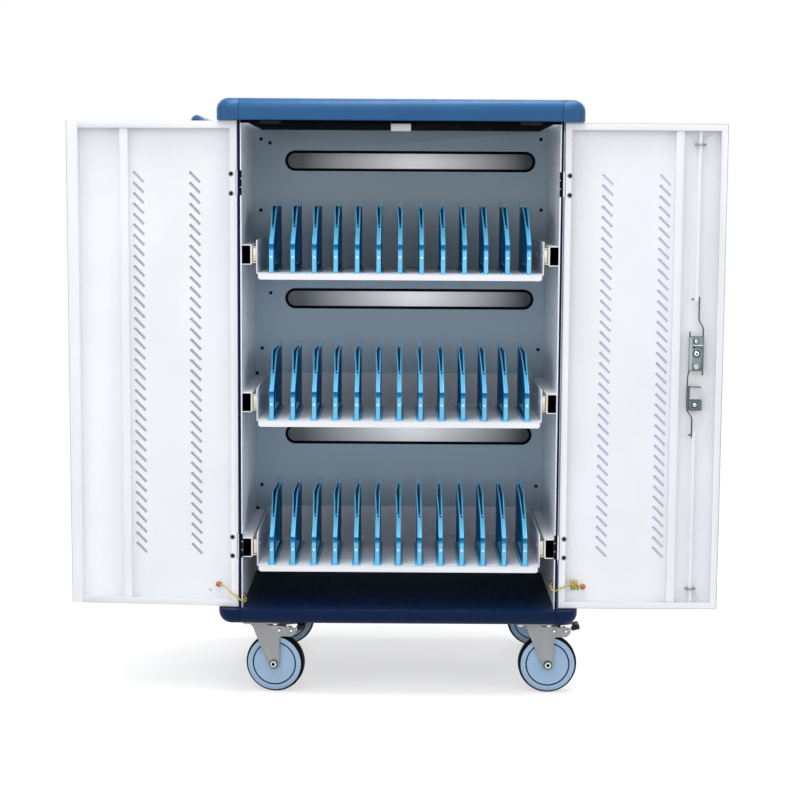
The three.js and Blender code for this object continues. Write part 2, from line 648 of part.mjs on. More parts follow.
function lockPlate() {
  const z0 = LOCK_Z - LOCK_PLATE_LENGTH / 2;
  const z1 = LOCK_Z + LOCK_PLATE_LENGTH / 2;
  const face = block(lockSpan(LOCK_AT - LOCK_PLATE_WIDTH / 2, LOCK_AT + LOCK_PLATE_WIDTH / 2),
    [PLATE_IN, PLATE_OUT], [z0, z1]);
  const legs = [[z0, z0 + LOCK_PLATE_SHEET], [z1 - LOCK_PLATE_SHEET, z1]].map((range) =>
    block(lockSpan(LOCK_AT - PINION_RADIUS + ROD_PLAY, LOCK_AT + PINION_RADIUS - ROD_PLAY),
      [SKIN_IN, PLATE_OUT], range));
  const bore = pinY(SPINDLE_RADIUS + ROD_PLAY, [lockAt(LOCK_AT), LOCK_Z],
    [PLATE_IN - LOCK_PLATE_SHEET, PLATE_OUT + LOCK_PLATE_SHEET]);
  return cut(fuse(face, ...legs), bore);
}
add(rightDoor, 'lock_plate', lockPlate(), ZINC, 0.4, 0.8);

const camPinion = pinY(PINION_RADIUS - ROD_PLAY, [lockAt(LOCK_AT), LOCK_Z], RACK_RANGE, 20);
const camSpindle = pinY(SPINDLE_RADIUS, [lockAt(LOCK_AT), LOCK_Z],
  [DOOR_OUT - LEVER_HUB / 2, PLATE_OUT + LOCK_PLATE_SHEET]);
add(rightDoor, 'lock_pinion', fuse(camPinion, camSpindle), ZINC, 0.35, 0.9);

function lever() {
  const centre = [lockAt(LOCK_AT), LOCK_Z];
  const hub = pinY(LEVER_HUB, centre, [DOOR_OUT - LEVER_HUB, DOOR_OUT - ROD_PLAY], 16);
  const neck = pinY(LEVER_WIDTH / 2, centre, [DOOR_OUT - LEVER_REACH, DOOR_OUT - LEVER_HUB]);
  const arm = stadium(LEVER_LENGTH, LEVER_WIDTH,
    [lockAt(LOCK_AT) + LEVER_LENGTH / 2 - LEVER_WIDTH / 2, LOCK_Z]);
  const grip = plateXZ(arm, [DOOR_OUT - LEVER_REACH, DOOR_OUT - LEVER_REACH + LEVER_WIDTH / 2], 4);
  const socket = pinY(SPINDLE_RADIUS + ROD_PLAY, centre, [DOOR_OUT - LEVER_HUB / 2 - ROD_PLAY, DOOR_OUT]);
  return cut(fuse(hub, neck, grip), socket);
}
add(rightDoor, 'door_lever', lever(), BLACK, 0.5, 0);

const keyBlock = block(lockSpan(KEY_AT - KEY_WIDTH / 2, KEY_AT + KEY_WIDTH / 2),
  [SKIN_IN, PLATE_OUT], [KEY_Z - KEY_LENGTH / 2, KEY_Z + KEY_LENGTH / 2]);
const keyBarrel = pinY(KEY_BARREL, [lockAt(KEY_AT), KEY_Z],
  [DOOR_OUT - 2 * DOOR_SHEET, SKIN_IN + DOOR_SHEET], 16);
add(rightDoor, 'key_lock', fuse(keyBlock, keyBarrel), ZINC, 0.4, 0.8);

// Each rod is pinned to a bent strip whose end is the rack along one side of the pinion
function lockingRod(up) {
  const turn = up ? 1 : -1;
  const z = (rise) => LOCK_Z + turn * rise;
  const plateEnd = LOCK_PLATE_LENGTH / 2;
  const near = LOCK_AT + turn * (PINION_RADIUS + RACK_WIDTH / 2);
  const beside = ROD_AT + turn * (ROD_RADIUS + RACK_WIDTH / 2 - LINK_SEAT);
  const aside = KEY_AT - KEY_WIDTH / 2 - RACK_WIDTH / 2 - 2 * ROD_PLAY;
  const underKey = KEY_DROP + KEY_LENGTH / 2 + ROD_PLAY;
  const link = LINK_FROM_LOCK[up ? 0 : 1];
  const bends = up
    ? [[near, plateEnd + RACK_NECK], [beside, plateEnd + RACK_NECK + RACK_BEND]]
    : [[near, plateEnd], [aside, plateEnd + RACK_BEND], [aside, underKey], [beside, underKey + RACK_BEND]];
  const line = [[near, -plateEnd - RACK_TAIL], ...bends, [beside, link + RACK_LAP / 2]];
  const half = RACK_WIDTH / 2;
  const left = line.map(([u, rise]) => [lockAt(u - half), z(rise)]);
  const right = line.map(([u, rise]) => [lockAt(u + half), z(rise)]).reverse();
  const rack = plateXZ(outline([...left, ...right]), RACK_RANGE);
  const far = up ? DOOR_TOP - ROD_END : DOOR_Z + ROD_END;
  const rod = pinZ(ROD_RADIUS, [lockAt(ROD_AT), ROD_LINE], [z(link - RACK_LAP / 2), far]);
  const ends = [ROD_AT - LINK_REACH, beside].map(lockAt);
  return fuse(rack, rod, pinX(LINK_RADIUS, [ROD_LINE, z(link)], ends, 8));
}
add(rightDoor, 'rod_upper', lockingRod(true), ZINC, 0.35, 0.9);
add(rightDoor, 'rod_lower', lockingRod(false), ZINC, 0.35, 0.9);

// Rear service door, drawn shut with its pivot axis at its own origin
const rearDoor = group(cart, [HINGE_X, REAR_AXIS_Y, 0]);

function rearLeaf() {
  const near = DOOR_GAP / 2;
  const far = near + REAR_THICKNESS;
  const end = -2 * HINGE_X + HINGE_EDGE;
  const pan = block([-HINGE_EDGE, end], [near, far], [DOOR_Z, DOOR_TOP]);
  const hollow = block([-HINGE_EDGE - DOOR_SHEET, end + DOOR_SHEET], [near + DOOR_SHEET, far - DOOR_SHEET],
    [DOOR_Z + DOOR_SHEET, DOOR_TOP - DOOR_SHEET]);
  const mouth = block([-HINGE_EDGE - DOOR_RETURN, end + DOOR_RETURN], [near - DOOR_SHEET, far - DOOR_SHEET],
    [DOOR_Z + DOOR_RETURN, DOOR_TOP - DOOR_RETURN]);
  const slots = [];
  for (const share of [1, 3]) {
    for (let i = 0; i < REAR_VENT_ROWS; i++) {
      const z = DOOR_MID + (i - (REAR_VENT_ROWS - 1) / 2) * REAR_VENT_PITCH;
      slots.push(plateXZ(stadium(REAR_VENT_LENGTH, REAR_VENT_WIDTH, [(end * share) / 4, z]),
        [far - 2 * DOOR_SHEET, far + DOOR_SHEET], 1));
    }
  }
  const pivots = [
    pinZ(PIVOT_RADIUS, [0, 0], [DOOR_Z - PIVOT_LENGTH, DOOR_Z + DOOR_RETURN]),
    pinZ(PIVOT_RADIUS, [0, 0], [DOOR_TOP - DOOR_RETURN, DOOR_TOP + PIVOT_LENGTH]),
  ];
  const lockX = end + 4 * DOOR_RETURN;
  const barrel = pinY(REAR_LOCK_RADIUS, [lockX, LOCK_Z], [far - REAR_LOCK_RADIUS, far + DOOR_SHEET], 16);
  return fuse(cut(pan, hollow, mouth, ...slots), barrel, ...pivots);
}
add(rearDoor, 'rear_door', rearLeaf(), WHITE, 0.4, 0.1);

// Trays, each with its dividers and runners, and the rails that carry it
function dividerSide() {
  const notchTop = DIVIDER_FRONT + DIVIDER_NOTCH;
  const slope = (DIVIDER_HEIGHT - notchTop) / DIVIDER_CREST;
  const side = new THREE.Shape();
  side.moveTo(0, -FOOT_SET);
  side.lineTo(0, DIVIDER_FRONT - DIVIDER_NOTCH);
  side.lineTo(DIVIDER_NOTCH, DIVIDER_FRONT);
  side.lineTo(0, notchTop);
  side.lineTo(DIVIDER_CREST - DIVIDER_ROUND, DIVIDER_HEIGHT - DIVIDER_ROUND * slope);
  side.quadraticCurveTo(DIVIDER_CREST, DIVIDER_HEIGHT, DIVIDER_CREST + DIVIDER_ROUND, DIVIDER_HEIGHT);
  side.lineTo(DIVIDER_DEPTH - DIVIDER_TAB, DIVIDER_HEIGHT);
  side.lineTo(DIVIDER_DEPTH - DIVIDER_TAB, DIVIDER_HEIGHT + DIVIDER_TAB);
  side.lineTo(DIVIDER_DEPTH, DIVIDER_HEIGHT + DIVIDER_TAB);
  side.lineTo(DIVIDER_DEPTH, -FOOT_SET);
  const back = DIVIDER_DEPTH - DIVIDER_REAR_BAND;
  const top = DIVIDER_HEIGHT - DIVIDER_BAND;
  const lean = DIVIDER_FRONT_BAND + DIVIDER_BAND;
  side.holes = [outline([[DIVIDER_FRONT_BAND, DIVIDER_BAND], [back, DIVIDER_BAND], [back, top],
    [lean + (top - notchTop) / slope, top], [lean, notchTop]])];
  return side;
}

function tray() {
  const sides = [-1, 1];
  const low = -TRAY_SHEET;
  const floor = block([-TRAY_X, TRAY_X], [0, TRAY_DEPTH], [low, 0]);
  const lip = outline([[-TRAY_X + LIP_INSET, 0], [-TRAY_X + LIP_INSET, LIP_INSET - TRAY_LIP],
    [-TRAY_X + 2 * LIP_INSET, -TRAY_LIP], [TRAY_X - 2 * LIP_INSET, -TRAY_LIP],
    [TRAY_X - LIP_INSET, LIP_INSET - TRAY_LIP], [TRAY_X - LIP_INSET, 0]]);
  const walls = sides.map((side) =>
    block([side * TRAY_X, side * (TRAY_X - TRAY_SHEET)], [0, TRAY_DEPTH], [low, TRAY_WALL]));
  const back = block([-TRAY_X, TRAY_X], [TRAY_DEPTH - TRAY_SHEET, TRAY_DEPTH], [low, TRAY_WALL]);
  const railZ = SPACER_RISE + SPACER_HEIGHT / 2;
  const runnerHalf = RAIL_HEIGHT / 2 - RAIL_SHEET - RAIL_PLAY;
  const runners = sides.map((side) => block(
    [side * TRAY_X, side * (TRAY_X + SLIDE_WIDTH - RAIL_SHEET - RAIL_PLAY)],
    [TRAY_SETBACK, TRAY_DEPTH - TRAY_SETBACK], [railZ - runnerHalf, railZ + runnerHalf]));
  const shape = dividerSide();
  const dividers = [];
  for (let i = 0; i < DIVIDER_COUNT; i++) {
    const x = (i - (DIVIDER_COUNT - 1) / 2) * DIVIDER_PITCH;
    const upright = plateYZ(shape, [x - DIVIDER_THICKNESS / 2, x + DIVIDER_THICKNESS / 2], 3);
    const foot = block([x - FOOT_WIDTH / 2, x + FOOT_WIDTH / 2], [0, DIVIDER_DEPTH], [-FOOT_SET, FOOT_SHEET]);
    dividers.push(upright.translate(0, TRAY_SHEET, 0), foot.translate(0, TRAY_SHEET, 0));
  }
  return fuse(floor, plateXZ(lip, [0, TRAY_SHEET]), ...walls, back, ...runners, ...dividers);
}

function slideRail(side) {
  const outer = side * WALL_X;
  const face = side * (WALL_X - SPACER_WIDTH);
  const z0 = SPACER_RISE;
  const z1 = SPACER_RISE + SPACER_HEIGHT;
  const range = [LEAF_DEPTH + RAIL_PLAY - TRAY_SETBACK, TRAY_DEPTH];
  const spacer = cut(block([outer, face], range, [z0, z1]),
    block([outer - side * SPACER_SHEET, face + side * SPACER_SHEET], deep,
      [z0 + SPACER_SHEET, z1 - SPACER_SHEET]));
  const mid = (z0 + z1) / 2;
  const lip = face - side * (SLIDE_WIDTH - RAIL_PLAY);
  const rail = cut(block([face, lip], range, [mid - RAIL_HEIGHT / 2, mid + RAIL_HEIGHT / 2]),
    block([face - side * RAIL_SHEET, lip - side * RAIL_SHEET], deep,
      [mid - RAIL_HEIGHT / 2 + RAIL_SHEET, mid + RAIL_HEIGHT / 2 - RAIL_SHEET]));
  return fuse(spacer, rail);
}

for (let level = 0; level < TRAY_COUNT; level++) {
  const z = FLOOR_Z + TRAY_LOWEST + (TRAY_COUNT - 1 - level) * TRAY_PITCH;
  const place = group(cart, [0, TRAY_Y, z]);
  add(place, `tray_${level + 1}`, tray(), WHITE, 0.4, 0.1);
  add(place, `slide_${level + 1}_left`, slideRail(-1), ZINC, 0.4, 0.7);
  add(place, `slide_${level + 1}_right`, slideRail(1), ZINC, 0.4, 0.7);
}

// Casters
const FORK_IN = WHEEL_WIDTH / 2 + FORK_PLAY;
const FORK_OUT = FORK_IN + FORK_SHEET;
const PLATE_Z = BASE_Z - PLATE_SHEET;
const CASTER_X = CAP_WIDTH / 2 - CASTER_FROM_SIDE;
const BRIDGE_TOP = PLATE_Z - SWIVEL_GAP - SWIVEL_HEIGHT;
const BRIDGE_LOW = BRIDGE_TOP - BRIDGE_SHEET;
const EAR_Z = BRIDGE_TOP - BRIDGE_SHEET;

function casterPlate() {
  const plate = new THREE.ExtrudeGeometry(roundedRect(PLATE_SIZE, PLATE_SIZE, KINGPIN_RADIUS), {
    depth: PLATE_SHEET, bevelEnabled: false, curveSegments: 2,
  });
  const pin = pinZ(KINGPIN_RADIUS, [0, 0], [BRIDGE_LOW - SWIVEL_GAP, PLATE_Z + PLATE_SHEET / 2]);
  const head = pinZ(1.5 * KINGPIN_RADIUS, [0, 0], [BRIDGE_LOW - BRIDGE_SHEET, BRIDGE_LOW - SWIVEL_GAP], 6);
  return fuse(plate.translate(0, 0, PLATE_Z), pin, head);
}

function casterFork(braked) {
  const leg = new THREE.Shape();
  const axle = [CASTER_TRAIL, WHEEL_RADIUS];
  const front = axle[0] + FORK_FOOT;
  const earLow = BRIDGE_TOP - EAR_HEIGHT;
  leg.moveTo(-FORK_BACK, BRIDGE_TOP);
  leg.lineTo(-FORK_BACK, BRIDGE_LOW);
  leg.lineTo(axle[0] - FORK_FOOT, axle[1]);
  leg.absarc(axle[0], axle[1], FORK_FOOT, Math.PI, 2 * Math.PI, false);
  if (braked) {
    leg.lineTo(front, earLow - EAR_FILLET);
    leg.quadraticCurveTo(front, earLow, front + EAR_FILLET, earLow);
    leg.lineTo(EAR_REACH - EAR_TIP, earLow);
    leg.lineTo(EAR_REACH, earLow + EAR_TIP);
    leg.lineTo(EAR_REACH, BRIDGE_TOP - EAR_TIP / 2);
  }
  leg.lineTo(front, BRIDGE_TOP);
  const legs = [-1, 1].map((side) => plateXZ(leg, [side * FORK_IN, side * FORK_OUT]));
  const bridge = block([-FORK_BACK, FORK_HALF], [-FORK_OUT, FORK_OUT], [BRIDGE_LOW, BRIDGE_TOP]);
  const race = pinZ(SWIVEL_RADIUS, [0, 0], [BRIDGE_LOW, PLATE_Z - SWIVEL_GAP], 14);
  const pins = [pinY(AXLE_RADIUS, axle, [-FORK_OUT - FORK_SHEET, FORK_OUT + FORK_SHEET], 10)];
  if (braked) {
    pins.push(pinY(PEDAL_PIN, [PEDAL_PIVOT, EAR_Z], [-FORK_OUT - PEDAL_PLAY, FORK_OUT + PEDAL_PLAY], 8));
  }
  const bore = pinZ(KINGPIN_RADIUS + AXLE_PLAY, [0, 0], [0, TOP_Z]);
  return cut(fuse(bridge, race, ...legs, ...pins), bore);
}

function wheel() {
  const half = WHEEL_WIDTH / 2;
  const bore = AXLE_RADIUS + AXLE_PLAY;
  const rim = WHEEL_RADIUS - TREAD;
  const ring = rim - RIM_WIDTH;
  const disc = ring - RIM_GROOVE;
  const flank = [[bore, half], [disc, half], [disc, half - RIM_GROOVE], [ring, half - RIM_GROOVE],
    [ring, half], [rim, half], [WHEEL_RADIUS, half - TREAD]];
  const mirrored = flank.map(([r, a]) => [r, -a]).reverse();
  const profile = [...flank, ...mirrored, flank[0]].reverse().map(([r, a]) => new THREE.Vector2(r, a));
  return new THREE.LatheGeometry(profile, 18);
}

function brakePedal() {
  const top = PLATE_Z - PEDAL_PLAY;
  const pedal = outline([[PEDAL_PIVOT - PEDAL_HEEL, EAR_Z - PEDAL_SHEET],
    [PEDAL_PIVOT + PEDAL_HEEL, EAR_Z - PEDAL_SHEET], [PEDAL_REACH - PEDAL_PLAY, EAR_Z - PEDAL_PLAY],
    [PEDAL_REACH, top], [PEDAL_REACH - PEDAL_HEEL, top], [PEDAL_PIVOT - PEDAL_SHEET, EAR_Z + PEDAL_SHEET]]);
  const plate = plateXZ(pedal, [-FORK_IN + AXLE_PLAY, FORK_IN - AXLE_PLAY]);
  const bore = pinY(PEDAL_PIN + AXLE_PLAY, [PEDAL_PIVOT, EAR_Z], [-FORK_OUT, FORK_OUT]);
  return cut(plate, bore);
}

for (const [x, word] of [[-CASTER_X, 'left'], [CASTER_X, 'right']]) {
  for (const [y, end] of [[CASTER_INSET, 'front'], [CAP_DEPTH - CASTER_INSET, 'rear']]) {
    const braked = end === 'front';
    const name = `${end}_${word}`;
    const place = group(cart, [x, y, 0]);
    add(place, `caster_plate_${name}`, casterPlate(), ZINC, 0.4, 0.9);
    const swivel = group(place, [0, 0, 0], braked && x < 0 ? LEFT_SWIVEL : 0);
    add(swivel, `caster_fork_${name}`, casterFork(braked), ZINC, 0.4, 0.9);
    const tyre = add(swivel, `caster_wheel_${name}`, wheel(), WHEEL_GREY, 0.6, 0);
    tyre.position.set(CASTER_TRAIL, 0, WHEEL_RADIUS);
    if (braked) add(swivel, `brake_pedal_${name}`, brakePedal(), ZINC, 0.45, 0.7);
  }
}

// Earth wires, each with a lug at both ends; the right one is wound into curls
function bondingWire(points, lugs, steps) {
  const path = new THREE.CatmullRomCurve3(points.map((p) => new THREE.Vector3(...p)));
  const line = path.getSpacedPoints(steps);
  let least = Infinity;
  for (let i = 0; i < line.length; i++) {
    for (let j = i + 4; j < line.length; j++) {
      least = Math.min(least, line[i].distanceTo(line[j]));
    }
  }
  console.log(`earth wire: least gap to itself ${(least - 2 * WIRE_RADIUS).toFixed(2)} mm`);
  return fuse(tube(path, WIRE_RADIUS, steps, 5), ...lugs);
}

// A lug lies on the door's inner face, or on the cabinet wall, as far as the named gap
function doorLug(side, open, u) {
  const seat = SKIN_IN + DOOR_GAP;
  const lug = pinY(LUG_RADIUS, [-side * u, FLOOR_Z + DOOR_LUG_RISE], [seat, seat + LUG_SHEET]);
  return lug.rotateZ(side * open).translate(side * HINGE_X, HINGE_Y, 0);
}

function wallLug(side, rise) {
  const seat = WALL_X - DOOR_GAP;
  return pinX(LUG_RADIUS, [WALL_LUG_Y, FLOOR_Z + rise], [side * seat, side * (seat - LUG_SHEET)]);
}

const fromHinge = (side, points) => points.map(([out, back, rise]) => (
  [side * (HINGE_X + out), HINGE_Y + back, FLOOR_Z + rise]));

const leftPoints = fromHinge(-1, [
  [35, 15.55, DOOR_LUG_RISE], [33.5, 12.35, DOOR_LUG_RISE], [27.5, 7.15, 36], [19, 0.15, 32.5],
  [10.5, -2.65, 25], [2, -2.85, 19], [-4.5, -2.65, 13], [-9.5, 0.65, 10], [-12, 7.15, 11], [-11, 14.15, 14],
  [-7.5, 20.15, LEFT_LUG_RISE]]);
const leftLugs = [doorLug(-1, LEFT_OPEN, LEFT_LUG_AT), wallLug(-1, LEFT_LUG_RISE)];
add(cart, 'earth_wire_left', bondingWire(leftPoints, leftLugs, 26), WIRE_GREEN, 0.5, 0);

const curls = [];
for (let i = 0; i <= 8 * CURL_COUNT; i++) {
  const turns = i / 8;
  const angle = turns * 2 * Math.PI;
  curls.push([20.5 + turns * CURL_PITCH, 6.75 - CURL_DEPTH * Math.cos(angle),
    RIGHT_LUG_RISE + CURL_HEIGHT * Math.sin(angle)]);
}
const rightPoints = fromHinge(1, [
  [-7.5, 20.15, RIGHT_LUG_RISE], [-11, 14.15, 40], [-12, 6.15, 37], [-9.5, -0.35, 33.5], [-3.5, -2.85, 33],
  [4.5, -2.85, 37], [12.5, -1.35, 40], ...curls, [39.5, 7.65, 38], [43, 12.45, DOOR_LUG_RISE]]);
const rightLugs = [wallLug(1, RIGHT_LUG_RISE), doorLug(1, RIGHT_OPEN, RIGHT_LUG_AT)];
add(cart, 'earth_wire_right', bondingWire(rightPoints, rightLugs, 56), WIRE_GREEN, 0.5, 0);

// The frame's origin is under the middle of the whole object, on the floor
cart.updateMatrixWorld(true);
const bounds = new THREE.Box3().setFromObject(cart, true);
const middle = bounds.getCenter(new THREE.Vector3());
cart.position.set(-middle.x, -middle.y, -bounds.min.z);
cart.updateMatrixWorld(true);

export default cart;
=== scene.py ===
"""Looks of the laptop charging cart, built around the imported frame.

Lengths are millimetres in the row frame until a piece is made, then metres. The doors face -Y.
"""
import json
import math

import bmesh
import bpy
from mathutils import Matrix, Vector
from mathutils.geometry import tessellate_polygon


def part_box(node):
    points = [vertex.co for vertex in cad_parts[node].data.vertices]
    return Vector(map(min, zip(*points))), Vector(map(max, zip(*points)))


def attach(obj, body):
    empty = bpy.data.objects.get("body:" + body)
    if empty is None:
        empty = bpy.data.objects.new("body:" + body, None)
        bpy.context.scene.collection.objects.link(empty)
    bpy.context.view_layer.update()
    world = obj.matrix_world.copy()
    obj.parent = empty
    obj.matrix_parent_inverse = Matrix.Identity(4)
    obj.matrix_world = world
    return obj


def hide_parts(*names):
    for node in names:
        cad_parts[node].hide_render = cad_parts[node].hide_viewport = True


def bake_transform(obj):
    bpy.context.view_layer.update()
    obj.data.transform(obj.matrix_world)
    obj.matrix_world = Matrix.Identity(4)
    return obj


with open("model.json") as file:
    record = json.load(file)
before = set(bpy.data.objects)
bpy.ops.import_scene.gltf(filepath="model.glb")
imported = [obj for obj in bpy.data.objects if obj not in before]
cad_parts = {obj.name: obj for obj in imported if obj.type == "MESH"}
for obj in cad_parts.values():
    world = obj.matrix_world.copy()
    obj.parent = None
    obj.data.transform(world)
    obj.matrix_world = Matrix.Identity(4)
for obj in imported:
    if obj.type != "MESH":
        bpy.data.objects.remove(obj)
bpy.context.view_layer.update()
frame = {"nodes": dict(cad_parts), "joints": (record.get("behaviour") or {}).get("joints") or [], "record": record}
cad = frame["nodes"]
joints = {joint["name"]: joint for joint in frame["joints"]}
MM = 0.001


# Camera, light and stage

CAMERA_AT = (11.45, -3182.49, 837.93)
CAMERA_PITCH = 0.11101
CAMERA_ROLL = 0.006125
CAMERA_YAW = -0.000703
FOCAL_PIXELS = 1800
IMAGE_PIXELS = 800
SENSOR = 36


def add_camera():
    data = bpy.data.cameras.new("photo_camera")
    data.sensor_width = SENSOR
    data.lens = SENSOR * FOCAL_PIXELS / IMAGE_PIXELS
    data.clip_end = 50
    camera = bpy.data.objects.new("photo_camera", data)
    bpy.context.scene.collection.objects.link(camera)
    ahead = Vector((math.sin(CAMERA_YAW) * math.cos(CAMERA_PITCH),
                    math.cos(CAMERA_YAW) * math.cos(CAMERA_PITCH), -math.sin(CAMERA_PITCH)))
    level = Vector((math.cos(CAMERA_YAW), -math.sin(CAMERA_YAW), 0))
    above = level.cross(ahead)
    right = level * math.cos(CAMERA_ROLL) + above * math.sin(CAMERA_ROLL)
    up = above * math.cos(CAMERA_ROLL) - level * math.sin(CAMERA_ROLL)
    turn = Matrix((right, up, -ahead)).transposed()
    camera.matrix_world = Matrix.Translation(Vector(CAMERA_AT) * MM) @ turn.to_4x4()
    bpy.context.scene.camera = camera


def add_light(name, place, target, size, power):
    data = bpy.data.lights.new(name, "AREA")
    data.shape = "RECTANGLE"
    data.size, data.size_y = size
    data.energy = power
    light = bpy.data.objects.new(name, data)
    bpy.context.scene.collection.objects.link(light)
    light.location = place
    light.rotation_euler = (Vector(target) - Vector(place)).to_track_quat("-Z", "Y").to_euler()
    light.visible_camera = False


def camera_or_mirror_ray(nodes, links):
    """1 for a ray that sees the background directly, in a mirror or through glass."""
    path = nodes.new("ShaderNodeLightPath")
    shown = path.outputs["Is Camera Ray"]
    for word in ("Is Glossy Ray", "Is Transmission Ray"):
        either = nodes.new("ShaderNodeMath")
        either.operation = "MAXIMUM"
        links.new(shown, either.inputs[0])
        links.new(path.outputs[word], either.inputs[1])
        shown = either.outputs[0]
    return shown


AMBIENT = 0.27


def add_world():
    world = bpy.data.worlds.new("studio")
    bpy.context.scene.world = world
    world.use_nodes = True
    nodes, links = world.node_tree.nodes, world.node_tree.links
    nodes.clear()
    output = nodes.new("ShaderNodeOutputWorld")
    mix = nodes.new("ShaderNodeMixShader")
    links.new(camera_or_mirror_ray(nodes, links), mix.inputs["Fac"])
    for socket, color, strength in ((1, (0.95, 0.97, 1.0, 1), AMBIENT), (2, (1, 1, 1, 1), 1)):
        sky = nodes.new("ShaderNodeBackground")
        sky.inputs["Color"].default_value = color
        sky.inputs["Strength"].default_value = strength
        links.new(sky.outputs[0], mix.inputs[socket])
    links.new(mix.outputs[0], output.inputs["Surface"])


FLOOR_HALF = 6
FLOOR_GLOW = 0.60
FLOOR_NEAR = 0.7
FLOOR_FAR = 1.9


def add_floor():
    """A pale floor: its own light brings it to white, and what falls on it keeps the shadow."""
    mesh = bpy.data.meshes.new("floor")
    mesh.from_pydata([(x, y, 0) for x, y in ((-FLOOR_HALF, -FLOOR_HALF), (FLOOR_HALF, -FLOOR_HALF),
                                             (FLOOR_HALF, FLOOR_HALF), (-FLOOR_HALF, FLOOR_HALF))],
                     [], [(0, 1, 2, 3)])
    floor = bpy.data.objects.new("floor", mesh)
    bpy.context.scene.collection.objects.link(floor)
    material = bpy.data.materials.new("floor")
    material.use_nodes = True
    nodes, links = material.node_tree.nodes, material.node_tree.links
    nodes.clear()

    def blend(factor, first, second):
        mix = nodes.new("ShaderNodeMixShader")
        links.new(factor, mix.inputs["Fac"])
        links.new(first, mix.inputs[1])
        links.new(second, mix.inputs[2])
        return mix.outputs[0]

    def glow(strength):
        light = nodes.new("ShaderNodeEmission")
        light.inputs["Strength"].default_value = strength
        return light.outputs[0]

    matt = nodes.new("ShaderNodeBsdfDiffuse")
    matt.inputs["Color"].default_value = (0.55, 0.55, 0.56, 1)
    lit = nodes.new("ShaderNodeAddShader")
    links.new(matt.outputs[0], lit.inputs[0])
    links.new(glow(FLOOR_GLOW), lit.inputs[1])
    place = nodes.new("ShaderNodeTexCoord")
    distance = nodes.new("ShaderNodeVectorMath")
    distance.operation = "LENGTH"
    links.new(place.outputs["Object"], distance.inputs[0])
    away = nodes.new("ShaderNodeMapRange")
    away.interpolation_type = "SMOOTHSTEP"
    away.inputs["From Min"].default_value = FLOOR_NEAR
    away.inputs["From Max"].default_value = FLOOR_FAR
    links.new(distance.outputs["Value"], away.inputs["Value"])
    shown = blend(away.outputs["Result"], lit.outputs[0], glow(1))
    output = nodes.new("ShaderNodeOutputMaterial")
    links.new(blend(camera_or_mirror_ray(nodes, links), matt.outputs[0], shown), output.inputs["Surface"])
    mesh.materials.append(material)


def add_studio():
    bpy.context.scene.view_settings.view_transform = "Standard"
    add_world()
    add_floor()
    add_light("front", (0.3, -4.6, 1.9), (0, 0, 0.8), (9.5, 3.4), 84)
    for side in (-1, 1):
        add_light("wing", (side * 3.6, -2.4, 1.5), (0, 0, 0.7), (1.6, 2.2), 26)
    add_light("key", (-0.8, -2.2, 3.3), (0, 0, 0.7), (3.0, 1.8), 28)
    add_light("top", (0.2, -0.25, 3.3), (0, 0, 0.6), (2.6, 1.2), 100)
    add_light("back", (0.6, 3.6, 2.6), (0, 0, 0.6), (2.8, 1.8), 46)
    add_light("service", (0, 0.155, 0.55), (0, 0.3, 0.55), (0.46, 0.78), 0.5)


# Materials

class Shader:
    """A principled material with helpers for procedural detail in object space."""

    def __init__(self, name, color, roughness, metallic=0.0, gloss=0.5):
        self.material = bpy.data.materials.new(name)
        self.material.use_nodes = True
        self.tree = self.material.node_tree
        self.bsdf = self.tree.nodes["Principled BSDF"]
        self.color = color
        self.bsdf.inputs["Metallic"].default_value = metallic
        self.bsdf.inputs["Roughness"].default_value = roughness
        self.bsdf.inputs["Specular IOR Level"].default_value = gloss
        self.bsdf.inputs["Base Color"].default_value = (*color, 1)
        self.place = self.node("ShaderNodeTexCoord").outputs["Object"]

    def node(self, kind, **settings):
        node = self.tree.nodes.new(kind)
        for key, value in settings.items():
            setattr(node, key, value)
        return node

    def link(self, source, target):
        self.tree.links.new(source, target)

    def noise(self, scale, detail=2.0, stretch=(1, 1, 1)):
        mapping = self.node("ShaderNodeMapping")
        mapping.inputs["Scale"].default_value = stretch
        self.link(self.place, mapping.inputs["Vector"])
        noise = self.node("ShaderNodeTexNoise")
        noise.inputs["Scale"].default_value = scale
        noise.inputs["Detail"].default_value = detail
        self.link(mapping.outputs[0], noise.inputs["Vector"])
        return noise.outputs["Fac"]

    def ramp(self, source, low, high, to_low, to_high):
        span = self.node("ShaderNodeMapRange")
        for socket, value in zip(("From Min", "From Max", "To Min", "To Max"), (low, high, to_low, to_high)):
            span.inputs[socket].default_value = value
        self.link(source, span.inputs["Value"])
        return span.outputs["Result"]

    def blend(self, factor, first, second):
        mix = self.node("ShaderNodeMix", data_type="RGBA")
        self.link(factor, mix.inputs["Factor"])
        for socket, value in ((mix.inputs["A"], first), (mix.inputs["B"], second)):
            socket.default_value = (*value, 1)
        return mix.outputs["Result"]

    def mottle(self, scale, other, low=0.35, high=0.65, stretch=(1, 1, 1)):
        """The colour drifts towards another one."""
        drift = self.ramp(self.noise(scale, 3, stretch), low, high, 0, 1)
        self.link(self.blend(drift, self.color, other), self.bsdf.inputs["Base Color"])

    def polish(self, scale, smooth, rough, stretch=(1, 1, 1)):
        """The roughness varies over the surface."""
        self.link(self.ramp(self.noise(scale, 2, stretch), 0.3, 0.7, smooth, rough),
                  self.bsdf.inputs["Roughness"])

    def grain(self, scale, depth, stretch=(1, 1, 1), detail=2.0):
        """A fine relief, depth in millimetres."""
        bump = self.node("ShaderNodeBump")
        bump.inputs["Strength"].default_value = 1
        bump.inputs["Distance"].default_value = depth * MM
        self.link(self.noise(scale, detail, stretch), bump.inputs["Height"])
        self.link(bump.outputs["Normal"], self.bsdf.inputs["Normal"])


def shade(color, share):
    return tuple(channel * share for channel in color)


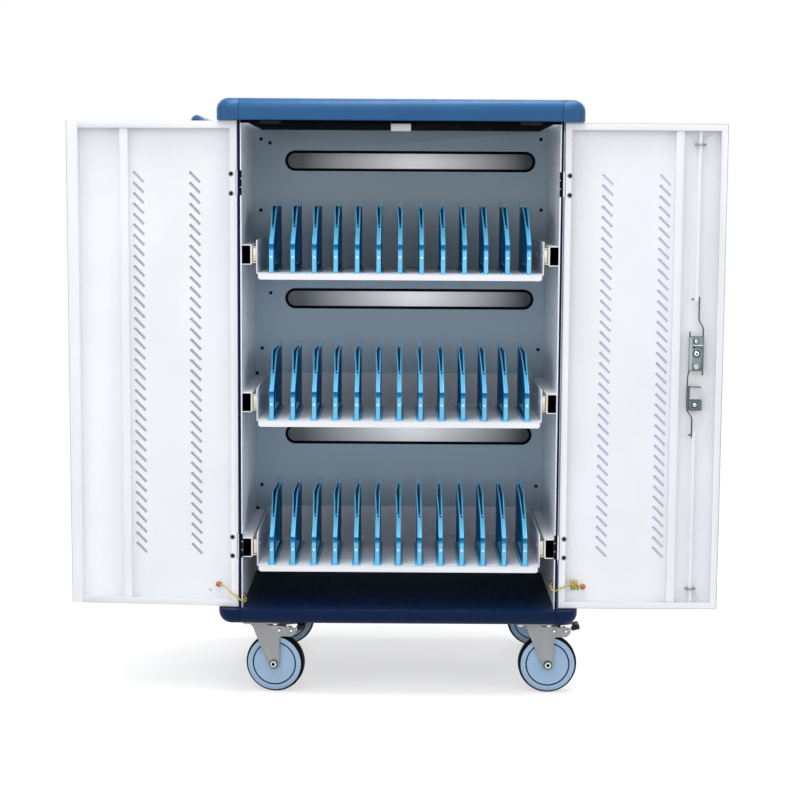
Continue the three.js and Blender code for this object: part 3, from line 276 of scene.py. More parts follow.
def powder_coat(name, color, roughness, gloss=0.5, relief=0.04):
    coat = Shader(name, color, roughness, gloss=gloss)
    coat.mottle(7, shade(color, 0.96))
    coat.polish(60, roughness - 0.05, roughness + 0.07)
    coat.grain(700, relief)
    return coat.material


def moulded(name, color, roughness, gloss=0.5, relief=0.05):
    plastic = Shader(name, color, roughness, gloss=gloss)
    plastic.mottle(14, shade(color, 0.9))
    plastic.polish(120, roughness - 0.06, roughness + 0.08)
    plastic.grain(1600, relief)
    return plastic.material


def plated(name, color, roughness, tint=None, metallic=1.0):
    """Plated steel, with a faint tint where the passivation is thicker."""
    steel = Shader(name, color, roughness, metallic)
    steel.mottle(38, tint or shade(color, 0.86))
    steel.polish(200, roughness - 0.06, roughness + 0.08)
    steel.grain(500, 0.015)
    return steel.material


def sheet_with_painted_highlight(name, bright, dull, roughness):
    """Galvanised sheet with a painted highlight: its colour is bright along its middle and duller towards its sides,
    standing in for the front light's reflection.
    """
    sheet = Shader(name, bright, roughness, metallic=0.4)
    parts = sheet.node("ShaderNodeSeparateXYZ")
    sheet.link(sheet.place, parts.inputs[0])
    # The painted highlight is brightest 35 mm along X from the origin and fades to the dull colour between 15 and
    # 210 mm from there.
    offset = sheet.node("ShaderNodeMath", operation="SUBTRACT")
    sheet.link(parts.outputs["X"], offset.inputs[0])
    offset.inputs[1].default_value = 0.035
    away = sheet.node("ShaderNodeMath", operation="ABSOLUTE")
    sheet.link(offset.outputs[0], away.inputs[0])
    fade = sheet.ramp(away.outputs[0], 0.015, 0.21, 0, 1)
    sheet.link(sheet.blend(fade, bright, dull), sheet.bsdf.inputs["Base Color"])
    sheet.polish(60, roughness - 0.03, roughness + 0.03, stretch=(1, 1, 12))
    sheet.grain(60, 0.004, stretch=(1, 1, 30))
    return sheet.material


def drawn_steel(name, color, roughness):
    steel = Shader(name, color, roughness, metallic=1.0)
    steel.mottle(40, shade(color, 0.86), stretch=(20, 1, 20))
    steel.polish(30, roughness - 0.1, roughness + 0.1, stretch=(30, 1, 30))
    steel.grain(40, 0.02, stretch=(30, 1, 30))
    return steel.material


def rubber(name, color, roughness):
    skin = Shader(name, color, roughness, gloss=0.06)
    skin.mottle(50, shade(color, 1.6))
    skin.polish(150, roughness - 0.08, roughness + 0.1)
    skin.grain(900, 0.06)
    return skin.material


def striped_wire(name, first, second):
    wire = Shader(name, first, 0.42)
    wave = wire.node("ShaderNodeTexWave", bands_direction="DIAGONAL")
    wave.inputs["Scale"].default_value = 55
    wave.inputs["Distortion"].default_value = 0.6
    wire.link(wire.place, wave.inputs["Vector"])
    stripe = wire.ramp(wave.outputs["Fac"], 0.55, 0.65, 0, 1)
    wire.link(wire.blend(stripe, first, second), wire.bsdf.inputs["Base Color"])
    wire.grain(1500, 0.02)
    return wire.material


WHITE = powder_coat("door_powder_coat", (0.85, 0.865, 0.90), 0.42)
# The doors' rounded bends are painted dark grey: painted shade that draws a thin outline along the door edges.
DOOR_BEND_PAINTED_SHADE = powder_coat("door_bend_powder_coat", (0.42, 0.43, 0.50), 0.5, 0.3)
TRAY_WHITE = powder_coat("tray_powder_coat", (0.86, 0.88, 0.92), 0.4)
LINER = powder_coat("liner_powder_coat", (0.87, 0.92, 0.97), 0.42)
PARTITION_GREY = powder_coat("partition_powder_coat", (0.55, 0.69, 0.80), 0.42, 0.4)
NAVY = powder_coat("panel_powder_coat", (0.003, 0.020, 0.080), 0.42, 0.3, 0.012)
# The side panels' front edges are painted darker and more matt than the same sheet's outside: painted shade.
PANEL_EDGE_PAINTED_SHADE = powder_coat("panel_edge_powder_coat", (0.002, 0.011, 0.050), 0.6, 0.03)
# The ceiling under the cap is painted near black: painted shade.
CEILING_PAINTED_SHADE = powder_coat("ceiling_powder_coat", (0.001, 0.002, 0.004), 0.7, 0.03)
CAP_BLUE = moulded("cap_plastic", (0.017, 0.092, 0.232), 0.38, 0.2, 0.02)
# The handle is the cap's blue plastic painted darker: painted shade against the top light.
HANDLE_BLUE_PAINTED_SHADE = moulded("handle_plastic", (0.012, 0.068, 0.180), 0.38, 0.2)
BASE_NAVY = moulded("base_plastic", (0.001, 0.013, 0.052), 0.42, 0.1)
CYAN = moulded("divider_edge_plastic", (0.13, 0.57, 0.90), 0.32, 0.5, 0.02)
# A pale copy of the divider plastic, used as a painted highlight on the front edges.
DIVIDER_PAINTED_HIGHLIGHT = moulded("divider_bead_plastic", (0.62, 0.88, 0.95), 0.3, 0.5, 0.02)
# The dividers are all of the edge's cyan plastic; these two darker blues are painted shade on their nicks, grooves,
# sides and rear parts.
DIVIDER_HALF_SHADE = moulded("divider_nick_plastic", (0.006, 0.22, 0.52), 0.4, 0.3, 0.02)
DIVIDER_SHADE = moulded("divider_side_plastic", (0.002, 0.095, 0.25), 0.45, 0.15, 0.02)
BLACK = moulded("black_plastic", (0.008, 0.008, 0.010), 0.45, 0.2)
# Black drawn into holes, bores, slots and recesses where there is only shade: painted shade.
SHADE_BLACK = powder_coat("tube_bore", (0.002, 0.002, 0.002), 0.8, 0.05)
LOUVRE_GREY = powder_coat("left_louvre_paint", (0.68, 0.68, 0.70), 0.5)
LOUVRE_PALE = powder_coat("right_louvre_paint", (0.78, 0.78, 0.95), 0.5)
HINGE_BLACK = plated("black_plating", (0.006, 0.006, 0.008), 0.45)
RUBBER = rubber("edging_rubber", (0.002, 0.002, 0.003), 0.6)
TYRE = rubber("tyre_rubber", (0.003, 0.003, 0.004), 0.55)
WHEEL = moulded("wheel_plastic", (0.36, 0.53, 0.73), 0.34, 0.4)
GALVANISED_PAINTED_HIGHLIGHT = sheet_with_painted_highlight("galvanised_sheet", (0.95, 0.95, 0.98), (0.11, 0.125, 0.145), 0.5)
CASTER_ZINC = plated("caster_zinc_plating", (0.25, 0.285, 0.27), 0.42, (0.27, 0.262, 0.285), 0.75)
ZINC = plated("zinc_plating", (0.31, 0.39, 0.43), 0.38, metallic=0.7)
PALE_ZINC = plated("pale_zinc_plating", (0.50, 0.50, 0.52), 0.45, metallic=0.5)
MID_ZINC = plated("cover_zinc_plating", (0.19, 0.24, 0.26), 0.4, metallic=0.8)
DARK_ZINC = plated("dark_zinc_plating", (0.11, 0.145, 0.16), 0.4, metallic=0.8)
STRIP_STEEL = plated("strip_steel", (0.09, 0.085, 0.095), 0.4)
CHROME = plated("bright_plating", (0.74, 0.75, 0.77), 0.14)
SLIDE_STEEL = drawn_steel("slide_steel", (0.62, 0.59, 0.54), 0.35)
COPPER = plated("copper_screw", (0.42, 0.11, 0.05), 0.3)
IVORY = moulded("ivory_plastic", (0.62, 0.62, 0.52), 0.4)
WIRE = striped_wire("earth_wire_insulation", (0.62, 0.42, 0.04), (0.20, 0.30, 0.03))


# Mesh tools

def span(*names):
    """Lowest and highest corner of CAD nodes, in millimetres."""
    corners = [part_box(name) for name in names]
    low = Vector([min(c[0][i] for c in corners) for i in range(3)]) / MM
    high = Vector([max(c[1][i] for c in corners) for i in range(3)]) / MM
    return low, high


def point(joint):
    return Vector(joints[joint]["pos_m"]) / MM


def block(bm, low, high):
    corners = list(zip(low, high))
    low = Vector([min(pair) for pair in corners])
    high = Vector([max(pair) for pair in corners])
    bmesh.ops.create_cube(bm, size=1, matrix=Matrix.LocRotScale((low + high) / 2, None, high - low))


def prism(bm, loops, start, end, place):
    """A flat outline with holes, carried from start to end; place maps (a, b, depth) to the row frame."""
    flat = [[Vector((a, b, 0)) for a, b in loop] for loop in loops]
    ends = []
    for depth in (start, end):
        ends.append([bm.verts.new(place(p.x, p.y, depth)) for loop in flat for p in loop])
    for triangle in tessellate_polygon(flat):
        bm.faces.new([ends[0][i] for i in triangle])
        bm.faces.new([ends[1][i] for i in reversed(triangle)])
    first = 0
    for loop in flat:
        count = len(loop)
        for i in range(count):
            j = (i + 1) % count
            bm.faces.new([ends[0][first + i], ends[0][first + j], ends[1][first + j], ends[1][first + i]])
        first += count


def axes(direction):
    """A unit direction and two unit vectors square to it."""
    direction = Vector(direction).normalized()
    side = Vector((0, 0, 1)) if abs(direction.z) < 0.9 else Vector((1, 0, 0))
    first = direction.cross(side).normalized()
    return direction, first, direction.cross(first)


def skin(bm, near, far):
    """Faces between two rings of corners; a ring of one corner is a tip."""
    count = max(len(near), len(far))
    for i in range(count):
        j = (i + 1) % count
        corners = [near[i % len(near)], near[j % len(near)], far[j % len(far)], far[i % len(far)]]
        bm.faces.new(list(dict.fromkeys(corners)))


def circle(centre, first, second, radius, sides):
    turns = [2 * math.pi * i / sides for i in range(sides)]
    return [centre + (first * math.cos(t) + second * math.sin(t)) * radius for t in turns]


def lathe(bm, profile, centre, direction, sides=32):
    """A round form: profile is (radius, height) along the direction; radius 0 closes an end."""
    along, first, second = axes(direction)
    rings = []
    for radius, height in profile:
        middle = Vector(centre) + along * height
        corners = [middle] if radius < 1e-6 else circle(middle, first, second, radius, sides)
        rings.append([bm.verts.new(corner) for corner in corners])
    for near, far in zip(rings, rings[1:]):
        skin(bm, near, far)


def tube(bm, points, radius, sides=12):
    """A round bar along points, with flat ends."""
    points = [Vector(p) for p in points]
    rings = []
    normal = None
    for i, here in enumerate(points):
        ahead = (points[min(i + 1, len(points) - 1)] - points[max(i - 1, 0)]).normalized()
        normal = axes(ahead)[1] if normal is None else (normal - ahead * normal.dot(ahead)).normalized()
        rings.append([bm.verts.new(corner)
                      for corner in circle(here, normal, ahead.cross(normal), radius, sides)])
    for near, far in zip(rings, rings[1:]):
        skin(bm, near, far)
    bm.faces.new(list(reversed(rings[0])))
    bm.faces.new(rings[-1])


def smooth_path(points, steps):
    """A Catmull-Rom line through points."""
    points = [Vector(p) for p in points]
    ends = [2 * points[0] - points[1], *points, 2 * points[-1] - points[-2]]
    line = []
    for a, b, c, d in zip(ends, ends[1:], ends[2:], ends[3:]):
        for i in range(steps):
            t = i / steps
            line.append(0.5 * (2 * b + (c - a) * t + (2 * a - 5 * b + 4 * c - d) * t * t
                               + (3 * b - a - 3 * c + d) * t * t * t))
    return [*line, points[-1]]


def bend(start, control, end, steps=10):
    """Points along a curve that turns at a control point, the start left out."""
    start, control, end = Vector(start), Vector(control), Vector(end)
    shares = [i / steps for i in range(1, steps + 1)]
    return [start * (1 - t) ** 2 + control * 2 * t * (1 - t) + end * t * t for t in shares]


def round_edges(bm, width, angle=40, segments=2, longest=0.0, only=None):
    """Rounds edges sharper than an angle; edges shorter than longest stay sharp."""
    limit = math.radians(angle)
    edges = [e for e in bm.edges if len(e.link_faces) == 2 and e.calc_face_angle(0) > limit
             and e.calc_length() > longest and (only is None or only(e))]
    bmesh.ops.bevel(bm, geom=edges, offset=width, segments=segments, profile=0.5, affect="EDGES",
                    clamp_overlap=True)


def make(name, bm, material, body, nodes=(), angle=38, pick=None):
    """Turns millimetre geometry into a piece that rides on a body and stands for CAD nodes."""
    bmesh.ops.recalc_face_normals(bm, faces=bm.faces)
    if pick:
        for face in bm.faces:
            face.material_index = pick(face.calc_center_median(), face.normal)
    bmesh.ops.scale(bm, vec=(MM, MM, MM), verts=bm.verts)
    mesh = bpy.data.meshes.new(name)
    bm.to_mesh(mesh)
    bm.free()
    for each in material if isinstance(material, list) else [material]:
        mesh.materials.append(each)
    mesh.shade_smooth()
    mesh.set_sharp_from_angle(angle=math.radians(angle))
    piece = bpy.data.objects.new(name, mesh)
    bpy.context.scene.collection.objects.link(piece)
    if body:
        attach(piece, body)
    if nodes:
        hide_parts(*nodes)
    return piece


def cad_copy(node):
    """A CAD node's own faces, welded, in millimetres."""
    bm = bmesh.new()
    bm.from_mesh(cad[node].data)
    bmesh.ops.scale(bm, vec=(1 / MM,) * 3, verts=bm.verts)
    bmesh.ops.remove_doubles(bm, verts=bm.verts, dist=0.001)
    bmesh.ops.dissolve_limit(bm, angle_limit=math.radians(0.5), verts=bm.verts, edges=bm.edges)
    return bm


def slice_mesh(bm, at, normal):
    """A line of edges where a plane passes, so that each side can have its own paint."""
    bmesh.ops.bisect_plane(bm, geom=[*bm.verts, *bm.edges, *bm.faces], plane_co=at, plane_no=normal)


body_of = {node: body for body, nodes in frame["record"]["behaviour"]["bodies"].items() for node in nodes}


def finish(node, material, width=0.4, longest=0.0, pick=None, segments=2, angle=38):
    """The node's own shape with its edges rounded."""
    bm = cad_copy(node)
    round_edges(bm, width, segments=segments, longest=longest)
    return make(f"{node}_finished", bm, material, body_of[node], [node], angle, pick)


# Fasteners, gathered into one piece for each body and finish

gathered = {}


def hardware(body, material):
    return gathered.setdefault((body, material.name), (bmesh.new(), material))[0]


def pan_head(body, at, direction, radius=3.0, height=1.8, metal=None):
    """A domed screw head with a recess."""
    crown = [(radius * math.cos(t), height * math.sin(t)) for t in (0, 0.35, 0.75, 1.1)]
    lathe(hardware(body, metal or ZINC),
          [(0, -0.2), (radius, -0.2), *crown, (radius * 0.34, height), (radius * 0.26, height * 0.5),
           (0, height * 0.5)], at, direction, 18)


def sunk_bolt(body, at, direction, radius=4.6):
    """A countersunk head, flush with the sheet, around a socket painted black as painted shade."""
    bore = radius * 0.58
    lathe(hardware(body, MID_ZINC), [(bore, -0.3), (radius, -0.3), (radius, 0.02), (radius - 0.4, 0.08),
                                     (bore + 0.2, 0.08), (bore, 0.03)], at, direction, 20)
    lathe(hardware(body, SHADE_BLACK), [(0, -0.3), (bore + 0.1, -0.3), (bore + 0.1, 0.04), (0, 0.04)], at,
          direction, 20)


def ringed_screw(body, at, direction, radius):
    """A bright domed head in a ring painted black as painted shade, with a dark recess."""
    lathe(hardware(body, SHADE_BLACK), [(0, -0.1), (radius + 1.1, -0.1), (radius + 1.1, 0.4), (radius * 0.9, 0.5)],
          at, direction, 24)
    lathe(hardware(body, CHROME), [(radius, 0.3), (radius * 0.92, 1.1), (radius * 0.6, 1.9),
                                   (radius * 0.42, 2), (radius * 0.38, 1.4)], at, direction, 24)
    lathe(hardware(body, DARK_ZINC), [(radius * 0.4, 1.6), (0, 1.3)], at, direction, 24)


def hex_head(body, at, direction, across=8.0, height=3.5):
    """A hexagon head on a washer."""
    half = across / 2
    metal = hardware(body, CHROME)
    lathe(metal, [(0, 0), (half * 1.5, 0), (half * 1.5, 0.8), (half * 1.1, 0.9)], at, direction, 24)
    lathe(metal, [(half * 1.1, 0.8), (half * 1.1, height - 0.5), (half * 0.85, height), (0, height)],
          at, direction, 6)


# Places that many pieces share

cap_low, cap_high = span("top_cover", "top_end_left", "top_end_right")
MIDDLE = (cap_low.x + cap_high.x) / 2
FRONT = cap_low.y


def cart(x, y, z):
    """From the middle and front of the cap to the row frame."""
    return Vector((MIDDLE + x, FRONT + y, z))


class Leaf:
    """Door coordinates: u from the hinge axis, n towards the inside, z up."""

    def __init__(self, joint, side, degrees):
        angle = math.radians(degrees)
        axis = point(joint)
        self.side = side
        self.body = "left_door" if side < 0 else "right_door"
        self.origin = Vector((axis.x, axis.y, 0))
        self.along = Vector((-side * math.cos(angle), -math.sin(angle), 0))
        self.inward = Vector((-side * math.sin(angle), math.cos(angle), 0))

    def __call__(self, u, n, z):
        return self.origin + self.along * u + self.inward * n + Vector((0, 0, z))

    def local(self, place):
        away = place - self.origin
        return away.dot(self.along), away.dot(self.inward), place.z

    def block(self, bm, u, n, z):
        corners = [bm.verts.new(self(a, b, c)) for c in z for b in n for a in u]
        for face in ((0, 1, 3, 2), (4, 6, 7, 5), (0, 4, 5, 1), (2, 3, 7, 6), (0, 2, 6, 4), (1, 5, 7, 3)):
            bm.faces.new([corners[i] for i in face])


LEFT_LEAF = Leaf("left_door_hinge", -1, 185)
RIGHT_LEAF = Leaf("right_door_hinge", 1, 180)
SKIN_IN = -13.65
SKIN_OUT = -15.15
LIP_IN = -0.15
WALL = 264
PANEL = 4
FRONT_EDGE = 16
FLOOR_LEVEL = 151
CEILING_LEVEL = 961.5
PARTITION = 319


# Cap and base: slabs with one rounded rim, each in three lengths

RIM = 20
CORNER = 24
SEAM_AT = 265.5
SEAM = 0.3


def rounded_plan(half_x, half_y, corner, steps=10):
    ring = []
    for quarter, (sx, sy) in enumerate(((1, 1), (-1, 1), (-1, -1), (1, -1))):
        for i in range(steps + 1):
            t = math.pi / 2 * (quarter + i / steps)
            ring.append((sx * (half_x - corner) + corner * math.cos(t),
                         sy * (half_y - corner) + corner * math.sin(t)))
    return ring


def rimmed_slab(low, high, upward):
    centre = (low + high) / 2
    half = (high - low) / 2
    flat, crown = (low.z, high.z) if upward else (high.z, low.z)
    turn = 1 if upward else -1
    levels = [(0.8, flat), (0, flat + turn * 0.8)]
    for i in range(13):
        t = math.pi / 2 * i / 12
        levels.append((RIM * (1 - math.cos(t)), crown - turn * RIM * (1 - math.sin(t))))
    bm = bmesh.new()
    rings = []
    for inset, z in levels:
        plan = rounded_plan(half.x - inset, half.y - inset, CORNER - inset)
        rings.append([bm.verts.new((centre.x + x, centre.y + y, z)) for x, y in plan])
    for near, far in zip(rings, rings[1:]):
        skin(bm, near, far)
    bm.faces.new(rings[0])
    bm.faces.new(rings[-1])
    return bm


def keep_side(bm, x, direction):
    cut = bmesh.ops.bisect_plane(bm, geom=[*bm.verts, *bm.edges, *bm.faces], plane_co=(x, 0, 0),
                                 plane_no=(direction, 0, 0), clear_inner=True)
    bmesh.ops.edgeloop_fill(bm, edges=[e for e in cut["geom_cut"] if isinstance(e, bmesh.types.BMEdge)])


def slab_pieces(words, upward, material):
    centre, left, right = words
    low, high = span(*words)
    parts = {centre: ((MIDDLE - SEAM_AT + SEAM / 2, 1), (MIDDLE + SEAM_AT - SEAM / 2, -1)),
             left: ((MIDDLE - SEAM_AT - SEAM / 2, -1),),
             right: ((MIDDLE + SEAM_AT + SEAM / 2, 1),)}
    for node, cuts in parts.items():
        bm = rimmed_slab(low, high, upward)
        for x, direction in cuts:
            keep_side(bm, x, direction)
        bmesh.ops.recalc_face_normals(bm, faces=bm.faces)
        round_edges(bm, 0.7, angle=60)
        make(f"{node}_moulding", bm, material, "cabinet", [node])


slab_pieces(("top_cover", "top_end_left", "top_end_right"), True, CAP_BLUE)
slab_pieces(("base_frame", "base_end_left", "base_end_right"), False, BASE_NAVY)


# Cabinet: navy panels with a pale liner inside, whose front edge shows beside the navy one

LINER_SHARE = 0.2
LINER_EDGE = 1.7


def side_panel(node, side):
    bm = cad_copy(node)
    split = WALL + LINER_SHARE
    slice_mesh(bm, cart(side * split, 0, 0), (1, 0, 0))
    round_edges(bm, 0.3, longest=20)
    # Inside faces take the liner; front-facing faces outside the liner take the darker edge navy as painted shade.
    make(f"{node}_sheet", bm, [NAVY, LINER, PANEL_EDGE_PAINTED_SHADE], "cabinet", [node],
         pick=lambda centre, normal: 1 if side * (centre.x - MIDDLE) < split else 2 * int(normal.y < -0.3))
    bm = bmesh.new()
    block(bm, cart(side * WALL, 19, CEILING_LEVEL - 1.5),
          cart(side * (WALL - 14), PARTITION, CEILING_LEVEL - 0.3))
    round_edges(bm, 0.3)
    make(f"{node}_flange", bm, LINER, "cabinet")
    bm = bmesh.new()
    block(bm, cart(side * WALL, FRONT_EDGE + 0.1, FLOOR_LEVEL),
          cart(side * (WALL - LINER_EDGE), 26, CEILING_LEVEL))
    round_edges(bm, 0.3)
    make(f"{node}_liner_edge", bm, LINER, "cabinet")
    bm = bmesh.new()
    block(bm, cart(side * 197, 17, CEILING_LEVEL - 1), cart(side * 232, 17.8, CEILING_LEVEL + 3.5))
    make(f"{node}_bumper", bm, BLACK, "cabinet")
    for y, z in ((26, 935), (26, 800), (26, 690), (26, 640), (26, 560), (26, 440), (26, 330), (150, 900),
                 (150, 640), (150, 400)):
        pan_head("cabinet", cart(side * WALL, y, z), (-side, 0, 0), 1.8, 0.8)


side_panel("side_panel_left", -1)
side_panel("side_panel_right", 1)
finish("ceiling_panel", CEILING_PAINTED_SHADE)
finish("rear_partition", PARTITION_GREY, width=0.25, longest=100)
for screw_x, screw_z in ((-253, 945), (-237, 938), (-254, 817), (253, 947), (255, 820), (-252, 566),
                         (-261, 520), (-236, 667), (-253, 313), (-261, 269), (253, 566), (253, 313)):
    lathe(hardware("cabinet", BLACK), [(0, -0.1), (3.4, -0.1), (3, 0.9), (1.2, 1.3), (0, 1)],
          cart(screw_x, PARTITION, screw_z), (0, -1, 0), 16)

finish("door_catch", PALE_ZINC)
catch_screw = cart(1, 18, CEILING_LEVEL - 8)
lathe(hardware("cabinet", ZINC), [(3.4, 0), (3.8, 0), (3.6, 0.15), (2.6, 0.2)], catch_screw, (0, -1, 0), 24)
lathe(hardware("cabinet", PALE_ZINC), [(2.8, 0.12), (2.4, 0.2), (1.4, 0.28), (0, 0.3)], catch_screw,
      (0, -1, 0), 24)


# Power gear in the rear compartment

SOCKETS = 12
SOCKET_PITCH = 35


def power_strip(node):
    finish(node, BLACK, width=0.8)
    low, high = span(node)
    middle = (low.z + high.z) / 2
    face = high.y - 3.5
    for i in range(SOCKETS):
        x = MIDDLE + (i - (SOCKETS - 1) / 2) * SOCKET_PITCH
        # Socket holes and slots are black discs and bars: painted shade.
        lathe(hardware("cabinet", SHADE_BLACK), [(0, 0.3), (2.4, 0.3), (2.4, 0), (0, 0)],
              (x, face, middle + 6), (0, 1, 0), 12)
        for side in (-1, 1):
            block(hardware("cabinet", SHADE_BLACK), (x + side * 6 - 1, face, middle - 6),
                  (x + side * 6 + 1, face + 0.3, middle))
    for side in (-1, 1):
        pan_head("cabinet", (MIDDLE + side * 213, high.y, middle), (0, 1, 0))


for level in (1, 2, 3):
    power_strip(f"power_strip_{level}")

finish("power_inlet", BLACK, width=0.8)
inlet_low, inlet_high = span("power_inlet")
for pin_y, pin_z in ((-7, -3), (7, -3), (0, 3)):
    middle = (inlet_low + inlet_high) / 2
    block(hardware("cabinet", CHROME), (inlet_high.x - 19, middle.y + pin_y - 1, middle.z + pin_z - 2),
          (inlet_high.x - 7, middle.y + pin_y + 1, middle.z + pin_z + 2))
for end in (-1, 1):
    pan_head("cabinet", (inlet_high.x, middle.y + end * 25, middle.z), (1, 0, 0), 2)


# Slot edging: a rubber channel pushed over the sheet's edge

EDGING = 5
EDGING_OVERLAP = 1


def stadium_line(length, height, steps=16):
    reach = (length - height) / 2
    line = []
    for side, start in ((1, -math.pi / 2), (-1, math.pi / 2)):
        for i in range(steps + 1):
            t = start + math.pi * i / steps
            line.append((side * reach + height / 2 * math.cos(t), height / 2 * math.sin(t)))
    return line


def edging(node):
    low, high = span(node)
    centre = (low + high) / 2
    size = high - low
    depth = size.y / 2
    bm = bmesh.new()
    rings = []
    for across, y in rounded_plan(EDGING / 2, depth, EDGING_OVERLAP, 4):
        grow = 2 * (across - EDGING / 2 + EDGING_OVERLAP)
        line = stadium_line(size.x + grow, size.z + grow)
        rings.append([bm.verts.new((centre.x + x, centre.y + y, centre.z + z)) for x, z in line])
    for near, far in zip(rings, [*rings[1:], rings[0]]):
        skin(bm, near, far)
    make(f"{node}_rubber", bm, RUBBER, "cabinet", [node])


for level in (1, 2, 3):
    edging(f"slot_edging_{level}")


# Hinges: knuckles painted with the door, a black leaf on the liner's edge

KNUCKLE = 0.9


def hinge(node):
    low, high = span(node)
    side = -1 if "left" in node else 1
    axis = (LEFT_LEAF if side < 0 else RIGHT_LEAF).origin
    third = (high.z - low.z) / 3
    bm = bmesh.new()
    for i in range(3):
        block(bm, cart(side * (WALL - LINER_EDGE - 0.3), FRONT_EDGE - 0.05, low.z + i * third + 0.5),
              cart(side * (WALL + 0.6), FRONT_EDGE + 3.4, low.z + (i + 1) * third - 0.5))
    round_edges(bm, 0.5)
    make(f"{node}_leaf", bm, HINGE_BLACK, "cabinet", [node])
    bm = bmesh.new()
    ring = [(0, 0.25), (KNUCKLE - 0.3, 0.25), (KNUCKLE, 0.55), (KNUCKLE, third - 0.55),
            (KNUCKLE - 0.3, third - 0.25), (0, third - 0.25)]
    for i in range(3):
        lathe(bm, ring, (axis.x, axis.y, low.z + i * third), (0, 0, 1), 24)
    make(f"{node}_knuckles", bm, WHITE, "cabinet", [node])


for side in ("left", "right"):
    for level in ("lower", "upper"):
        hinge(f"hinge_{side}_{level}")


# Doors

VENT_COLUMNS = (73, 168)
VENT_COUNT = 37
VENT_PITCH = 17.34
VENT_LENGTH = 24.6
VENT_DROP = 92.1
HOOD = ((-3.4, 0), (-2.6, 1.2), (-0.6, 2.2), (3.6, 2.9))
HOOD_SHEET = 0.7
door_low, door_high = span("door_right")
HINGE_LEVELS = (257, 863.5)
COVER_STRIP = 29.3
LIP_TRIM = 10.2
ROD_AT = 224
HINGE_BOLTS = {-1: 9.8, 1: 9.2}


def door(node, leaf):
    """The pan with its outer bends rounded wide and its sheet edges only broken."""
    bm = cad_copy(node)
    places = [leaf.local(v.co) for v in bm.verts]
    if leaf.side < 0:
        lip = max(place[0] for place in places) - COVER_STRIP
        moved = [vert for vert, place in zip(bm.verts, places) if abs(place[0] - lip) < 0.1]
        bmesh.ops.triangulate(bm, faces=list({face for vert in moved for face in vert.link_faces}))
        bmesh.ops.translate(bm, vec=leaf.along * LIP_TRIM, verts=moved)
        bmesh.ops.dissolve_limit(bm, angle_limit=math.radians(0.5), verts=bm.verts, edges=bm.edges)
    limits = [{min(p[i] for p in places), max(p[i] for p in places)} for i in range(3)]

    def on_limits(vert):
        return {(i, limit) for i, here in enumerate(leaf.local(vert.co)) for limit in limits[i]
                if abs(here - limit) < 0.05}

    def outer(edge):
        return len(on_limits(edge.verts[0]) & on_limits(edge.verts[1])) > 1

    round_edges(bm, 1.4, segments=4, longest=60, only=outer)
    round_edges(bm, 0.35, angle=60, longest=60)

    def pick(centre, normal):
        u, n, z = leaf.local(centre)
        if leaf.side > 0 and abs(u - ROD_AT) < 12 and n > SKIN_IN + 0.5 and min(limits[2]) + 20 < z < max(limits[2]) - 20:
            return 2
        # Faces of the rounded bends, square to none of the door's axes, take the dark bend colour as painted shade.
        return int(max(abs(normal.dot(leaf.along)), abs(normal.dot(leaf.inward)), abs(normal.z)) < 0.985)

    make(f"{node}_pan", bm, [WHITE, DOOR_BEND_PAINTED_SHADE, CASTER_ZINC], leaf.body, [node], pick=pick)
    for level in HINGE_LEVELS:
        for step in (-17.5, 14.5):
            sunk_bolt(leaf.body, leaf(HINGE_BOLTS[leaf.side], LIP_IN, level + step), leaf.inward)


def louvres(leaf, paint):
    """Pressed hoods behind the slanted vents, open along one edge."""
    bm = bmesh.new()
    half = VENT_LENGTH / 2 + 1.5
    slant = math.sqrt(0.5)
    for u0 in VENT_COLUMNS:
        for i in range(VENT_COUNT):
            z0 = door_high.z - VENT_DROP - i * VENT_PITCH
            rows = []
            for end in (-half, half):
                for sheet in (0, HOOD_SHEET):
                    rows.append([bm.verts.new(leaf(u0 - leaf.side * (end - across) * slant,
                                                   SKIN_OUT - rise - sheet, z0 + (end + across) * slant))
                                 for across, rise in HOOD])
            for k in range(len(HOOD) - 1):
                bm.faces.new([rows[0][k], rows[0][k + 1], rows[2][k + 1], rows[2][k]])
                bm.faces.new([rows[1][k], rows[3][k], rows[3][k + 1], rows[1][k + 1]])
                bm.faces.new([rows[0][k], rows[1][k], rows[1][k + 1], rows[0][k + 1]])
                bm.faces.new([rows[2][k], rows[2][k + 1], rows[3][k + 1], rows[3][k]])
            bm.faces.new([rows[0][0], rows[2][0], rows[3][0], rows[1][0]])
            bm.faces.new([rows[0][-1], rows[1][-1], rows[3][-1], rows[2][-1]])
    make(f"{leaf.body}_louvres", bm, paint, leaf.body)


door("door_left", LEFT_LEAF)
door("door_right", RIGHT_LEAF)
pan_head("left_door", LEFT_LEAF(50.5, SKIN_IN, 178.5), LEFT_LEAF.inward, 3.2, 1.2, LOUVRE_GREY)
louvres(LEFT_LEAF, LOUVRE_GREY)
louvres(RIGHT_LEAF, LOUVRE_PALE)

rear_low, rear_high = span("rear_door")
# The rear door's inner faces take the galvanised sheet with its painted highlight; its outer faces are white.
finish("rear_door", [GALVANISED_PAINTED_HIGHLIGHT, WHITE], width=0.6, longest=60, angle=18,
       pick=lambda centre, normal: int(centre.y > rear_high.y - 2.9 or normal.y > 0.3))
barrel = [v.co / MM for v in cad["rear_door"].data.vertices if v.co.y / MM > rear_high.y - 0.1]
rear_key = sum(barrel, Vector()) / len(barrel)
barrel_radius = max((p - rear_key).length for p in barrel)
lathe(hardware(body_of["rear_door"], CHROME),
      [(barrel_radius + 2.5, -1.6), (barrel_radius + 2.2, -0.4), (barrel_radius + 1, 0.4),
       (barrel_radius - 1.5, 0.7), (barrel_radius - 2.5, 0.3), (0, 0.3)], rear_key, (0, 1, 0), 40)
